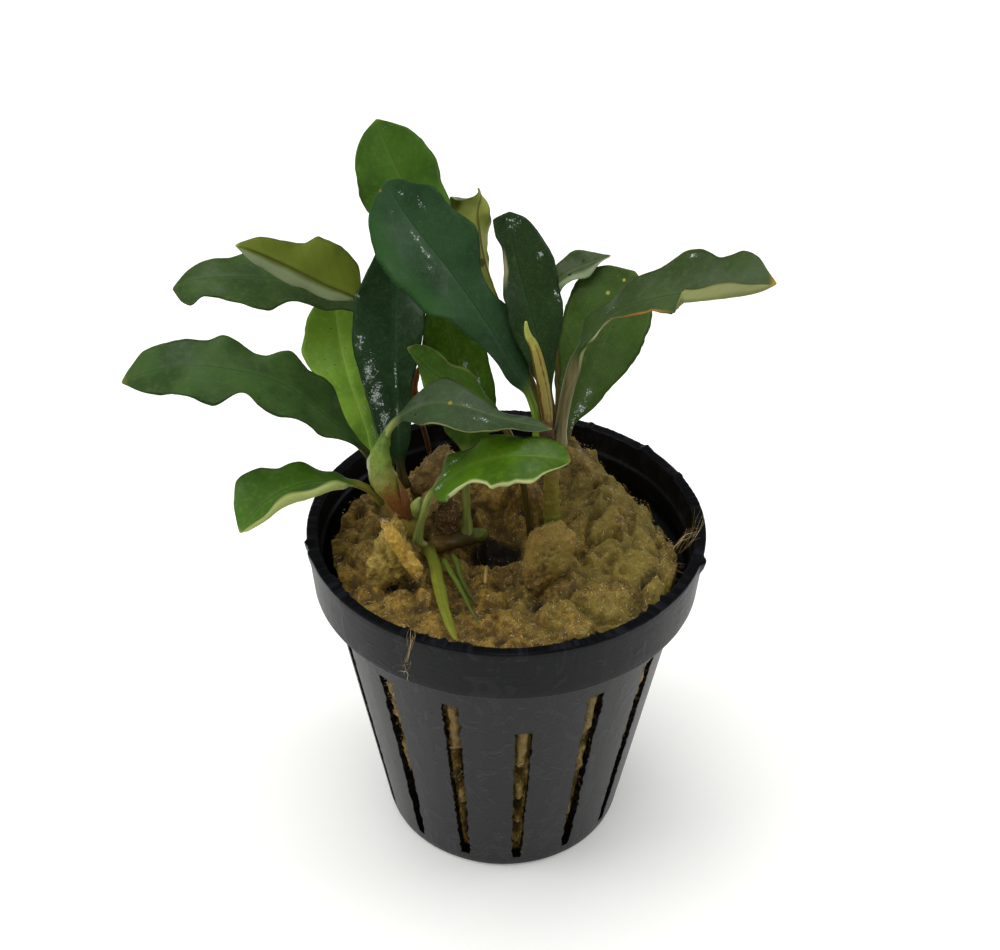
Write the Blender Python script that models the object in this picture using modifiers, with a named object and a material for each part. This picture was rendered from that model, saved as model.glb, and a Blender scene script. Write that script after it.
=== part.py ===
"""Potted bucephalandra: a slotted net pot packed with rock wool, and the small plant that grows in it.

The origin is the centre of the pot's underside. +Z is up, +X is the viewer's right and -Y is the front.
Sizes in the tables are millimetres, and MM turns them to metres.
"""

import math
from typing import NamedTuple

import bmesh
import bpy
import numpy as np
from mathutils import Vector, noise

MM = 0.001

# Pot, in metres
POT_HEIGHT = 0.0485
RIM_RADIUS = 0.026
COLLAR_FOOT_RADIUS = 0.0254
COLLAR_HEIGHT = 0.008
NECK_RADIUS = 0.0234
FOOT_RADIUS = 0.0168
FOOT_ROUNDING = 0.0008
POT_WALL = 0.0010
RIM_BAND = 0.0014
FLOOR_THICKNESS = 0.0012
SHOULDER = POT_HEIGHT - COLLAR_HEIGHT
POT_STEPS = 60

# Slots down the pot's wall
SLOT_COUNT = 15
FIRST_SLOT_DEGREES = 6.4
SLOT_TOP = 0.0358
SLOT_FOOT = 0.0022
SLOT_TOP_WIDTH = 0.0023
SLOT_FOOT_WIDTH = 0.0015

# Rock wool
WOOL_CLEARANCE = 0.0006
WOOL_LEVEL = 0.0464
WOOL_STEPS = 36
WOOL_RINGS = 9
LUMP_HEIGHT = 0.0009
LUMP_SPACING = 0.0045

# How far the wool's top edge stands in from the pot's inner wall, in mm, at each compass point in degrees
WOOL_INSET = {
    -180: 1.4, -135: 0.6, -90: 0.3, -45: 0.3, -15: 1.2,
    15: 4.6, 45: 6.4, 90: 5.6, 135: 3.4, 180: 1.4,
}

# Leaf mesh
RING_POINTS = 8
BLADE_STEPS = 14
PETIOLE_STEP = 0.0035
STALK_BLEND = 0.14


class Hill(NamedTuple):
    """A mound (or, below zero, a hollow) in the top of the wool, in mm."""
    x: float
    y: float
    height: float
    radius: float


HILLS = (
    Hill(9.0, 12.0, 5.6, 6.5),
    Hill(-3.0, 13.0, 3.0, 6.0),
    Hill(15.5, 5.0, 2.2, 4.5),
    Hill(-10.5, 5.0, 3.2, 4.2),
    Hill(0.6, -1.0, -3.6, 3.8),
    Hill(-6.8, -2.6, -2.6, 3.0),
    Hill(9.5, -8.0, 1.3, 4.0),
    Hill(-16.5, -7.0, 1.4, 4.0),
    Hill(19.0, -9.0, 1.4, 3.0),
    Hill(-13.9, -10.6, 0.7, 2.6),
    Hill(5.0, -10.4, 0.5, 2.6),
    Hill(-8.2, 1.4, 0.9, 2.4),
)


class Leaf(NamedTuple):
    """A leaf with its stalk. Points and lengths are in mm, angles in degrees.

    midrib runs from the stalk's foot to the tip; stalk is the length before the blade starts.
    roll turns the blade about its midrib, at its start and at its tip.
    left and right are (share of the blade, half width), seen from above with the tip ahead.
    cup lifts both halves out of flat; wave is the margin's rise and fall, with that many waves.
    """
    midrib: tuple
    stalk: float
    roll: tuple
    left: tuple
    right: tuple
    cup: float = 10
    wave: float = 0.3
    waves: float = 3.5
    stalk_radius: float = 0.5
    thickness: float = 0.6


LEAVES = {
    "left_leaf_long": Leaf(
        midrib=((-16.9, 0.2, 53.4), (-17.4, 0.0, 58.0), (-21.9, -0.6, 63.8), (-27.9, -1.2, 70.0),
                (-36.9, -1.8, 73.0), (-41.6, -1.8, 72.7), (-46.4, -2.0, 70.9)),
        stalk=5, roll=(5, 25),
        left=((0.17, 3.0), (0.42, 5.8), (0.50, 5.4), (0.56, 4.2), (0.65, 6.3), (0.72, 5.8), (0.82, 4.2),
              (0.90, 3.4)),
        right=((0.10, 1.9), (0.18, 4.0), (0.30, 5.3), (0.43, 5.0), (0.51, 3.2), (0.59, 4.4), (0.65, 5.0),
               (0.70, 4.1), (0.77, 4.3), (0.83, 3.2), (0.90, 3.4), (0.96, 1.6)),
        cup=8, wave=0.5, waves=5),
    "left_leaf_upper": Leaf(
        midrib=((-13.9, 2.1, 51.9), (-14.4, 7.6, 56.6), (-15.2, 11.8, 62.6), (-17.3, 14.4, 69.9),
                (-20.4, 14.4, 73.2), (-28.3, 13.0, 76.2), (-38.5, 10.2, 78.2), (-41.3, 9.3, 77.5)),
        stalk=22.7, roll=(15, 20),
        left=((0.12, 2.6), (0.32, 4.4), (0.48, 4.3), (0.58, 6.2), (0.65, 6.6), (0.73, 5.1), (0.80, 3.5),
              (0.86, 3.3), (0.93, 4.0), (0.98, 1.7)),
        right=((0.12, 2.4), (0.35, 4.4), (0.60, 4.6), (0.76, 2.9), (0.81, 2.7), (0.90, 2.0), (0.96, 0.8)),
        cup=6, wave=0.4, waves=4),
    "left_leaf_olive": Leaf(
        midrib=((-15.2, 2.5, 53.0), (-15.0, 5.6, 58.0), (-15.4, 9.0, 65.2), (-17.5, 11.2, 73.2),
                (-23.5, 10.2, 77.8), (-30.9, 8.6, 83.4), (-32.7, 8.2, 84.5)),
        stalk=23.6, roll=(-95, -105),
        left=((0.18, 4.2), (0.34, 5.3), (0.49, 5.4), (0.57, 3.7), (0.72, 2.8), (0.85, 1.9), (0.94, 0.8)),
        right=((0.15, 1.6), (0.40, 2.4), (0.60, 2.4), (0.80, 1.8), (0.93, 0.9)),
        cup=22, waves=3),
    "left_leaf_light": Leaf(
        midrib=((-16.3, 2.0, 53.6), (-17.0, 2.6, 55.0), (-17.6, 3.4, 56.8), (-18.1, 4.6, 58.7),
                (-20.4, 8.6, 64.0), (-22.3, 14.2, 69.4), (-22.4, 17.4, 72.7)),
        stalk=6.2, roll=(0, 15),
        left=((0.10, 1.6), (0.30, 3.6), (0.48, 4.6), (0.61, 5.2), (0.70, 4.4), (0.83, 3.4), (0.94, 1.6)),
        right=((0.10, 1.5), (0.30, 3.2), (0.55, 4.4), (0.75, 3.8), (0.92, 1.8)),
        cup=12),
    "left_leaf_glossy": Leaf(
        midrib=((-13.1, 1.0, 52.8), (-13.9, 2.0, 57.4), (-14.1, 4.2, 63.6), (-14.3, 6.2, 68.1),
                (-14.3, 8.4, 73.0), (-14.3, 10.4, 77.4), (-15.5, 12.6, 82.8)),
        stalk=5, roll=(30, 10),
        left=((0.07, 1.7), (0.13, 2.7), (0.27, 4.0), (0.40, 4.6), (0.55, 5.5), (0.69, 5.3), (0.81, 4.3),
              (0.93, 2.2)),
        right=((0.14, 2.0), (0.24, 2.4), (0.33, 2.5), (0.42, 3.2), (0.56, 4.6), (0.63, 5.2), (0.75, 4.6),
               (0.90, 2.6)),
        cup=18),
    "left_leaf_low": Leaf(
        midrib=((-16.0, -1.6, 52.4), (-17.6, -2.7, 55.1), (-19.3, -3.6, 56.6), (-22.6, -5.0, 57.8),
                (-25.6, -6.3, 58.2), (-29.1, -8.0, 57.5), (-32.6, -9.6, 54.2)),
        stalk=5.4, roll=(0, 15),
        left=((0.06, 1.6), (0.21, 3.0), (0.46, 3.9), (0.74, 3.2), (0.90, 1.7)),
        right=((0.06, 1.2), (0.24, 2.4), (0.37, 3.2), (0.50, 3.1), (0.62, 4.8), (0.75, 4.9), (0.88, 4.0),
               (0.96, 2.0)),
        cup=12, wave=0.4, waves=3),
    "left_leaf_spotted": Leaf(
        midrib=((-14.4, -2.1, 52.6), (-15.9, -1.6, 56.0), (-15.8, -1.3, 59.2), (-13.8, -1.8, 64.5),
                (-11.6, -2.5, 66.9), (-8.1, -3.4, 68.6), (0.1, -6.0, 67.9), (5.3, -7.4, 67.6)),
        stalk=13, roll=(-30, -10),
        left=((0.12, 1.2), (0.23, 1.8), (0.29, 2.9), (0.35, 3.7), (0.46, 2.6), (0.54, 1.8), (0.67, 1.2),
              (0.85, 1.0)),
        right=((0.12, 1.4), (0.27, 3.6), (0.46, 4.3), (0.54, 4.2), (0.70, 3.1), (0.79, 1.8), (0.91, 1.1)),
        cup=8, waves=3),
    "mid_leaf_bright": Leaf(
        midrib=((-11.3, -5.4, 48.9), (-10.8, -5.6, 52.1), (-9.6, -6.0, 56.4), (-7.0, -7.1, 60.2),
                (-4.0, -8.0, 62.6), (1.1, -9.2, 64.9), (7.5, -10.2, 64.9)),
        stalk=8, roll=(-20, -20),
        left=((0.06, 1.6), (0.22, 3.1), (0.41, 3.2), (0.59, 3.5), (0.73, 2.4), (0.84, 2.6), (0.94, 2.0)),
        right=((0.06, 1.4), (0.18, 3.6), (0.31, 4.8), (0.42, 3.2), (0.51, 4.1), (0.58, 5.6), (0.66, 5.6),
               (0.72, 4.7), (0.80, 4.6), (0.86, 3.2), (0.94, 1.7)),
        cup=8, wave=0.4),
    "mid_leaf_small": Leaf(
        midrib=((3.1, 0.3, 45.2), (2.2, 0.9, 52.8), (0.8, 1.6, 59.0), (-1.2, 2.0, 63.0), (-3.8, 2.2, 65.7),
                (-8.8, 2.4, 68.7), (-12.4, 3.0, 72.5)),
        stalk=17.5, roll=(15, 20),
        left=((0.15, 1.4), (0.40, 2.8), (0.60, 3.4), (0.71, 3.2), (0.78, 1.9), (0.86, 1.0)),
        right=((0.18, 1.0), (0.32, 1.8), (0.49, 3.2), (0.70, 2.7), (0.82, 2.7), (0.96, 1.4)),
        cup=12, waves=3),
    "mid_leaf_broad": Leaf(
        midrib=((-5.2, -1.3, 48.0), (-5.3, 0.4, 52.9), (-5.2, 2.2, 57.1), (-5.4, 4.2, 61.2),
                (-6.0, 6.2, 65.2), (-8.0, 9.8, 73.8), (-9.2, 11.0, 77.0)),
        stalk=9.5, roll=(0, 5),
        left=((0.06, 2.0), (0.18, 3.0), (0.35, 4.0), (0.55, 4.6), (0.75, 4.2), (0.92, 2.0)),
        right=((0.05, 2.4), (0.18, 3.6), (0.33, 4.2), (0.57, 4.1), (0.75, 3.6), (0.92, 1.8)),
        cup=12, stalk_radius=0.62),
    "right_leaf_large": Leaf(
        midrib=((3.8, 0.1, 61.1), (3.0, 1.0, 65.9), (-0.4, 2.2, 72.3), (-3.1, 3.1, 76.6), (-6.5, 4.1, 81.5),
                (-12.4, 5.6, 89.3), (-14.5, 6.2, 93.1)),
        stalk=5.2, roll=(25, 35),
        left=((0.10, 2.0), (0.20, 2.2), (0.29, 2.4), (0.38, 3.4), (0.47, 4.7), (0.55, 6.6), (0.65, 6.8),
              (0.74, 7.8), (0.80, 7.6), (0.87, 6.2), (0.93, 4.8), (0.97, 2.8)),
        right=((0.08, 1.5), (0.21, 3.0), (0.32, 3.7), (0.42, 2.9), (0.51, 3.4), (0.58, 4.7), (0.66, 6.0),
               (0.77, 5.3), (0.88, 4.8), (0.93, 3.2), (0.98, 1.7)),
        cup=10, wave=0.4),
    "right_leaf_back": Leaf(
        midrib=((4.5, 1.6, 60.8), (2.3, 6.0, 66.7), (-2.0, 10.5, 72.9), (-6.3, 14.0, 78.6),
                (-9.7, 16.0, 84.2), (-12.4, 17.0, 88.8), (-15.3, 17.7, 96.0)),
        stalk=22.7, roll=(20, 40),
        left=((0.12, 2.4), (0.35, 5.0), (0.55, 6.4), (0.70, 6.6), (0.80, 6.0), (0.90, 4.6), (0.97, 2.6)),
        right=((0.12, 2.0), (0.38, 3.9), (0.51, 4.6), (0.62, 5.2), (0.76, 4.7), (0.86, 3.6), (0.93, 2.1)),
        cup=8),
    "right_leaf_pale": Leaf(
        midrib=((5.1, 1.5, 62.1), (3.2, 4.0, 66.5), (0.6, 6.0, 71.9), (-1.6, 7.5, 76.4), (-3.0, 8.8, 80.4),
                (-3.7, 9.8, 83.7), (-3.8, 10.6, 86.5), (-3.4, 11.2, 88.9)),
        stalk=17.4, roll=(165, 180),
        left=((0.15, 1.4), (0.35, 1.6), (0.48, 2.0), (0.58, 2.3), (0.68, 2.0), (0.83, 1.4), (0.94, 0.6)),
        right=((0.15, 1.8), (0.40, 3.6), (0.60, 4.4), (0.81, 3.4), (0.89, 2.4), (0.94, 1.0)),
        cup=15, waves=3),
    "right_leaf_dark": Leaf(
        midrib=((6.3, 0.5, 62.0), (5.3, 1.8, 65.4), (4.2, 3.8, 70.6), (2.9, 5.6, 75.2), (1.7, 7.0, 79.1),
                (0.6, 8.5, 83.3), (-0.1, 10.0, 87.5)),
        stalk=4, roll=(5, 10),
        left=((0.12, 1.6), (0.35, 3.2), (0.58, 3.8), (0.64, 3.2), (0.72, 2.2), (0.82, 1.8), (0.90, 2.4),
              (0.97, 2.3)),
        right=((0.10, 0.9), (0.22, 1.8), (0.35, 3.2), (0.50, 4.4), (0.60, 4.7), (0.72, 4.5), (0.86, 3.4),
               (0.96, 1.9)),
        cup=15, waves=3),
    "right_leaf_small": Leaf(
        midrib=((6.1, 1.9, 60.9), (6.4, 6.5, 65.8), (5.8, 10.8, 70.6), (5.5, 13.8, 74.6), (7.0, 14.6, 76.4),
                (9.1, 15.2, 77.3), (12.9, 15.6, 78.8)),
        stalk=15.6, roll=(-10, -30),
        left=((0.15, 1.0), (0.35, 1.6), (0.52, 2.2), (0.64, 2.5), (0.82, 1.5), (0.94, 0.5)),
        right=((0.15, 0.9), (0.35, 1.4), (0.52, 1.8), (0.66, 1.9), (0.80, 1.2), (0.92, 0.4)),
        cup=12, wave=0.2, waves=2.5),
    "right_leaf_broad": Leaf(
        midrib=((7.1, 1.0, 60.5), (8.0, 2.6, 62.4), (9.3, 4.8, 65.2), (11.0, 7.2, 68.4), (12.7, 9.6, 71.7),
                (14.4, 12.0, 74.9), (15.9, 13.8, 77.6)),
        stalk=3, roll=(0, 0),
        left=((0.12, 1.6), (0.30, 3.8), (0.50, 5.6), (0.66, 6.4), (0.79, 6.3), (0.90, 4.8), (0.97, 2.8)),
        right=((0.08, 2.4), (0.26, 4.0), (0.41, 4.9), (0.54, 6.2), (0.64, 6.1), (0.76, 5.6), (0.90, 3.6)),
        cup=15),
    "right_leaf_long": Leaf(
        midrib=((6.4, -1.2, 61.0), (7.0, 0.0, 66.4), (7.9, 0.5, 71.0), (8.8, 0.6, 74.1), (10.7, 0.3, 77.2),
                (13.0, -0.3, 79.6), (17.3, -1.1, 81.5), (26.3, -3.2, 83.9), (30.4, -4.0, 85.2)),
        stalk=10.6, roll=(-5, -25),
        left=((0.08, 0.9), (0.17, 2.2), (0.30, 3.0), (0.42, 3.4), (0.52, 3.6), (0.61, 5.6), (0.70, 5.5),
              (0.79, 4.4), (0.86, 4.5), (0.93, 3.2), (0.97, 1.4)),
        right=((0.08, 0.9), (0.20, 1.5), (0.40, 1.6), (0.55, 2.0), (0.65, 2.6), (0.80, 2.6), (0.92, 1.4)),
        cup=12, wave=0.4, waves=4),
    "withered_leaf": Leaf(
        midrib=((-9.3, 5.2, 50.0), (-10.6, 6.2, 57.0), (-11.9, 6.8, 62.5), (-11.2, 7.4, 67.2)),
        stalk=8.7, roll=(20, -30),
        left=((0.20, 0.8), (0.50, 1.1), (0.80, 0.7)),
        right=((0.20, 0.7), (0.50, 1.0), (0.80, 0.8)),
        cup=30, wave=0.2, waves=2, stalk_radius=0.35, thickness=0.5),
    "thick_root": Leaf(
        midrib=((-9.9, -5.8, 47.4), (-9.2, -8.2, 48.2), (-8.6, -11.0, 47.8), (-8.0, -14.5, 47.7),
                (-7.2, -18.0, 47.7), (-6.4, -20.8, 47.1)),
        stalk=0.6, roll=(0, 10),
        left=((0.08, 1.2), (0.30, 1.5), (0.60, 1.2), (0.85, 0.9), (0.97, 0.7)),
        right=((0.08, 1.2), (0.30, 1.5), (0.60, 1.2), (0.85, 0.9), (0.97, 0.7)),
        cup=-6, wave=0.1, stalk_radius=0.7, thickness=0.9),
}


class Tube(NamedTuple):
    """A round stem or root: centre points and a radius at each, in mm."""
    points: tuple
    radii: tuple


TUBES = {
    "rhizome": Tube(
        ((-10.0, -4.5, 47.1), (-8.4, -3.6, 47.0), (-6.6, -2.6, 46.7), (-4.6, -1.5, 46.6), (-2.4, -0.6, 46.7)),
        (0.9, 1.1, 1.0, 1.05, 0.7)),
    "left_shoot": Tube(
        ((-11.2, -3.6, 48.0), (-12.4, -2.2, 49.3), (-13.8, -0.8, 50.7), (-15.0, 0.3, 51.8),
         (-15.4, 0.9, 52.7)),
        (1.2, 1.5, 1.6, 1.4, 0.9)),
    "right_stem": Tube(
        ((5.9, -0.9, 46.4), (5.9, -0.6, 50.0), (5.7, -0.2, 54.0), (5.6, 0.0, 57.5), (5.4, 0.1, 60.2),
         (5.4, 0.3, 61.2)),
        (1.0, 1.1, 0.95, 1.05, 1.25, 0.8)),
    "rolled_leaf": Tube(
        ((5.1, -1.4, 61.1), (4.8, -1.3, 66.0), (4.5, -1.2, 69.6), (3.9, -0.9, 73.2), (3.1, -0.5, 76.4),
         (2.4, -0.2, 78.2)),
        (0.45, 0.8, 0.85, 0.75, 0.5, 0.2)),
    "thin_root": Tube(
        ((-6.9, -6.2, 47.2), (-6.3, -8.6, 48.0), (-5.6, -11.2, 47.4), (-4.6, -13.6, 47.2),
         (-3.6, -15.8, 47.2)),
        (0.3, 0.4, 0.35, 0.3, 0.2)),
}


class Shred(NamedTuple):
    """A torn lump of wool: centre, half sizes and turn about X, Y and Z. Lengths in mm, angles in degrees."""
    centre: tuple
    half: tuple
    turn: tuple
    seed: float


SHREDS = {
    "wool_flake": Shred((-13.6, -10.2, 50.6), (1.1, 3.4, 3.2), (34, -18, -28), 1.0),
    "wool_lump": Shred((5.2, -10.0, 50.7), (2.7, 1.8, 3.3), (-18, 8, 10), 2.0),
    "wool_shred": Shred((-8.4, 0.9, 52.2), (2.2, 1.2, 4.2), (-10, 14, 20), 3.0),
}

COLOURS = {
    "black_plastic": ((0.012, 0.013, 0.017), 0.38),
    "wet_rock_wool": ((0.23, 0.135, 0.035), 0.55),
    "yellow_rock_wool": ((0.55, 0.33, 0.08), 0.6),
    "stem": ((0.20, 0.15, 0.05), 0.4),
    "root": ((0.13, 0.26, 0.03), 0.35),
    "dark_leaf": ((0.02, 0.07, 0.02), 0.3),
    "mid_leaf": ((0.04, 0.13, 0.02), 0.32),
    "bright_leaf": ((0.10, 0.27, 0.02), 0.35),
    "olive_leaf": ((0.14, 0.15, 0.02), 0.4),
    "new_leaf": ((0.42, 0.33, 0.08), 0.4),
    "withered_leaf": ((0.22, 0.08, 0.02), 0.6),
}

LEAF_COLOUR = {
    "left_leaf_light": "bright_leaf",
    "left_leaf_olive": "olive_leaf",
    "left_leaf_low": "mid_leaf",
    "mid_leaf_bright": "bright_leaf",
    "mid_leaf_small": "mid_leaf",
    "mid_leaf_broad": "mid_leaf",
    "right_leaf_back": "mid_leaf",
    "right_leaf_pale": "olive_leaf",
    "right_leaf_broad": "mid_leaf",
    "withered_leaf": "withered_leaf",
    "thick_root": "root",
}


def clear_scene():
    """Remove every object that the file starts with."""
    for obj in list(bpy.data.objects):
        bpy.data.objects.remove(obj, do_unlink=True)


def new_collection(name):
    """A new collection under the scene's own."""
    collection = bpy.data.collections.new(name)
    bpy.context.scene.collection.children.link(collection)
    return collection


def new_material(name, colour, roughness):
    """A Principled material of one colour."""
    material = bpy.data.materials.new(name)
    material.use_nodes = True
    shader = material.node_tree.nodes["Principled BSDF"]
    shader.inputs["Base Color"].default_value = (*colour, 1.0)
    shader.inputs["Roughness"].default_value = roughness
    shader.inputs["Metallic"].default_value = 0.0
    return material


def new_object(name, data, collection, material=None):
    """An object for a mesh or a curve, in a collection, with its material."""
    obj = bpy.data.objects.new(name, data)
    collection.objects.link(obj)
    if material is not None:
        data.materials.append(material)
    return obj


def mesh_from_bmesh(name, bm, smooth_degrees=None):
    """Turn a bmesh to a mesh, with smooth faces below an edge angle."""
    mesh = bpy.data.meshes.new(name)
    bmesh.ops.recalc_face_normals(bm, faces=bm.faces)
    bm.to_mesh(mesh)
    bm.free()
    if smooth_degrees is not None:
        mesh.shade_smooth()
        mesh.set_sharp_from_angle(angle=math.radians(smooth_degrees))
    return mesh


def pot_profile():
    """The pot's half section as (radius, height): down the outside, across the underside, up the inside."""
    inner_neck = NECK_RADIUS - POT_WALL
    inner_foot = FOOT_RADIUS - POT_WALL
    inner_collar = COLLAR_FOOT_RADIUS - POT_WALL - 0.0004
    return [
        (RIM_RADIUS, POT_HEIGHT),
        (COLLAR_FOOT_RADIUS, SHOULDER),
        (NECK_RADIUS, SHOULDER - 0.0003),
        (FOOT_RADIUS, FOOT_ROUNDING),
        (FOOT_RADIUS - FOOT_ROUNDING, 0.0),
        (0.0, 0.0),
        (0.0, FLOOR_THICKNESS),
        (inner_foot - FOOT_ROUNDING, FLOOR_THICKNESS),
        (inner_foot, FLOOR_THICKNESS + FOOT_ROUNDING),
        (inner_neck, SHOULDER - 0.0012),
        (inner_collar, SHOULDER + 0.0004),
        (RIM_RADIUS - RIM_BAND, POT_HEIGHT),
    ]


def build_slot_cutter(index, collection):
    """A tall wedge that is wider at the top, standing across the wall at one slot."""
    bm = bmesh.new()
    bmesh.ops.create_cube(bm, size=1.0)
    for vert in bm.verts:
        width = SLOT_TOP_WIDTH if vert.co.z > 0 else SLOT_FOOT_WIDTH
        height = SLOT_TOP if vert.co.z > 0 else SLOT_FOOT
        radius = NECK_RADIUS + 0.002 if vert.co.y > 0 else 0.013
        vert.co = Vector((math.copysign(width / 2, vert.co.x), radius, height))
    cutter = new_object(f"slot_cutter_{index:02d}", mesh_from_bmesh("slot_cutter", bm), collection)
    turn = FIRST_SLOT_DEGREES + index * 360.0 / SLOT_COUNT
    cutter.rotation_euler = (0.0, 0.0, math.radians(turn + 180.0))
    cutter.hide_render = True
    cutter.display_type = "WIRE"
    return cutter


def build_pot(collection, cutters, material):
    """Turn the pot and cut its slots."""
    bm = bmesh.new()
    points = pot_profile()
    verts = [bm.verts.new((radius, 0.0, height)) for radius, height in points]
    for a, b in zip(verts, verts[1:] + verts[:1]):
        if a.co.x + b.co.x > 0.0:
            bm.edges.new((a, b))
    mesh = bpy.data.meshes.new("pot")
    bm.to_mesh(mesh)
    bm.free()
    pot = new_object("pot", mesh, collection, material)
    pot.rotation_euler = (0.0, 0.0, math.radians(FIRST_SLOT_DEGREES - 90.0 + 180.0 / POT_STEPS))
    screw = pot.modifiers.new("turn", "SCREW")
    screw.axis = "Z"
    screw.steps = POT_STEPS
    screw.render_steps = POT_STEPS
    screw.use_merge_vertices = True
    screw.merge_threshold = 0.00001
    for index in range(SLOT_COUNT):
        cut = pot.modifiers.new(f"slot_{index:02d}", "BOOLEAN")
        cut.operation = "DIFFERENCE"
        cut.solver = "EXACT"
        cut.object = build_slot_cutter(index, cutters)
    return pot


def wool_height(x, y):
    """Height of the wool's top at a place, all in metres."""
    height = WOOL_LEVEL
    for hill in HILLS:
        away = math.hypot(x - hill.x * MM, y - hill.y * MM) / (hill.radius * MM)
        height += hill.height * MM * math.exp(-away * away)
    lump = noise.noise(Vector((x, y, 0.0)) / LUMP_SPACING)
    return height + lump * LUMP_HEIGHT


def wool_inset(angle):
    """How far the wool's top edge stands in from the wall at an angle in degrees, in metres."""
    return float(np.interp(angle, list(WOOL_INSET), list(WOOL_INSET.values()))) * MM


def wall_radius(height):
    """Inner radius of the pot's tapered wall at a height."""
    low = FLOOR_THICKNESS + FOOT_ROUNDING
    share = min(max((height - low) / (SHOULDER - low), 0.0), 1.0)
    return FOOT_RADIUS + (NECK_RADIUS - FOOT_RADIUS) * share - POT_WALL


def build_wool(collection, material):
    """Turn a plug that fills the pot, then shape its top edge and the mounds of its top."""
    foot = FLOOR_THICKNESS + WOOL_CLEARANCE
    side_heights = (0.040, 0.028, 0.014, foot + 0.0008)
    profile = [(0.0, WOOL_LEVEL)]
    profile += [(wall_radius(0.040) * ring / WOOL_RINGS, WOOL_LEVEL) for ring in range(1, WOOL_RINGS + 1)]
    profile += [(wall_radius(height) - WOOL_CLEARANCE, height) for height in side_heights]
    profile += [(wall_radius(foot) - WOOL_CLEARANCE - 0.0012, foot), (0.0, foot)]
    bm = bmesh.new()
    verts = [bm.verts.new((radius, 0.0, height)) for radius, height in profile]
    edges = [bm.edges.new(pair) for pair in zip(verts, verts[1:])]
    bmesh.ops.spin(bm, geom=verts + edges, cent=(0, 0, 0), axis=(0, 0, 1), angle=math.tau, steps=WOOL_STEPS)
    bmesh.ops.remove_doubles(bm, verts=bm.verts, dist=0.00001)
    for vert in bm.verts:
        if vert.co.z < WOOL_LEVEL - 0.0001:
            continue
        radius = math.hypot(vert.co.x, vert.co.y)
        if radius > 0.0:
            angle = math.atan2(vert.co.y, vert.co.x)
            edge = RIM_RADIUS - RIM_BAND - 0.0005 - wool_inset(math.degrees(angle))
            radius *= edge / wall_radius(0.040)
            vert.co.x = radius * math.cos(angle)
            vert.co.y = radius * math.sin(angle)
        vert.co.z = wool_height(vert.co.x, vert.co.y)
    return new_object("rock_wool", mesh_from_bmesh("rock_wool", bm, 50), collection, material)


def smooth_path(points, count):
    """Evenly spaced points on a smooth curve through the given ones, and the curve's length."""
    given = np.asarray(points, float)
    knots = np.concatenate([[0.0], np.cumsum(np.sqrt(np.linalg.norm(np.diff(given, axis=0), axis=1)))])
    slopes = np.gradient(given, knots, axis=0, edge_order=2)
    pieces = []
    for i, span in enumerate(np.diff(knots)):
        s = np.linspace(0.0, 1.0, 30, endpoint=False)[:, None]
        start = (2 * s**3 - 3 * s**2 + 1) * given[i] + (s**3 - 2 * s**2 + s) * span * slopes[i]
        end = (3 * s**2 - 2 * s**3) * given[i + 1] + (s**3 - s**2) * span * slopes[i + 1]
        pieces.append(start + end)
    fine = np.concatenate(pieces + [given[-1:]])
    lengths = np.concatenate([[0.0], np.cumsum(np.linalg.norm(np.diff(fine, axis=0), axis=1))])
    even = np.linspace(0.0, lengths[-1], count)
    return np.stack([np.interp(even, lengths, fine[:, k]) for k in range(3)], axis=-1), lengths[-1]


def blade_frames(leaf):
    """Midrib points in metres with the across and upper directions, and each point's share of the blade."""
    path, total = smooth_path(leaf.midrib, 121)
    ahead = np.gradient(path, axis=0)
    ahead /= np.linalg.norm(ahead, axis=1)[:, None]
    along = np.linspace(0.0, total, len(path))
    share = (along - leaf.stalk) / (total - leaf.stalk)
    across = np.stack([ahead[:, 1], -ahead[:, 0], np.zeros(len(path))], axis=-1)
    blade_start = int(np.argmax(share >= 0.0))
    level = across[blade_start]
    across[:blade_start] = level - ahead[:blade_start] * (ahead[:blade_start] @ level)[:, None]
    across /= np.linalg.norm(across, axis=1)[:, None]
    upper = np.cross(across, ahead)
    roll = np.radians(np.interp(np.clip(share, 0, 1), (0, 1), leaf.roll))[:, None]
    turned = across * np.cos(roll) + upper * np.sin(roll)
    upper = upper * np.cos(roll) - across * np.sin(roll)
    return path * MM, turned, upper, share


def half_width(outline, share, stalk_radius):
    """Half width in mm at a share of the blade, through the outline's points."""
    shares = [0.0] + [point[0] for point in outline] + [1.0]
    widths = [stalk_radius] + [point[1] for point in outline] + [0.12]
    return float(np.interp(share, shares, widths))


def leaf_section(leaf, share):
    """Ring of (across, upper) offsets in mm: a round stalk that turns to a thin blade."""
    angles = [math.tau * k / RING_POINTS for k in range(RING_POINTS)]
    radius = leaf.stalk_radius * (1.0 - 0.25 * min(max(-share, 0.0), 1.0))
    stalk = [(radius * math.cos(a), radius * math.sin(a)) for a in angles]
    if share <= 0.0:
        return stalk
    cup = math.radians(leaf.cup)
    envelope = min(1.0, 6.0 * share * (1.0 - share))
    ripple = leaf.wave * envelope * math.sin(math.tau * leaf.waves * share)
    skin = leaf.thickness / 2 * (1.0 - 0.5 * share)
    blade = []
    for side, level, upper_side in ((1, 1.0, 0), (1, 0.5, 1), (0, 0.0, 1), (-1, 0.5, 1),
                                    (-1, 1.0, 0), (-1, 0.5, -1), (0, 0.0, -1), (1, 0.5, -1)):
        width = half_width(leaf.right if side > 0 else leaf.left, share, leaf.stalk_radius)
        lift = level * width * math.sin(cup) + side * ripple * level**2
        thickness = upper_side * skin * (1.0 - 0.5 * level)
        blade.append((side * level * width * math.cos(cup), lift + thickness))
    blend = min(share / STALK_BLEND, 1.0)
    return [(s[0] + (b[0] - s[0]) * blend, s[1] + (b[1] - s[1]) * blend) for s, b in zip(stalk, blade)]


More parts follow.
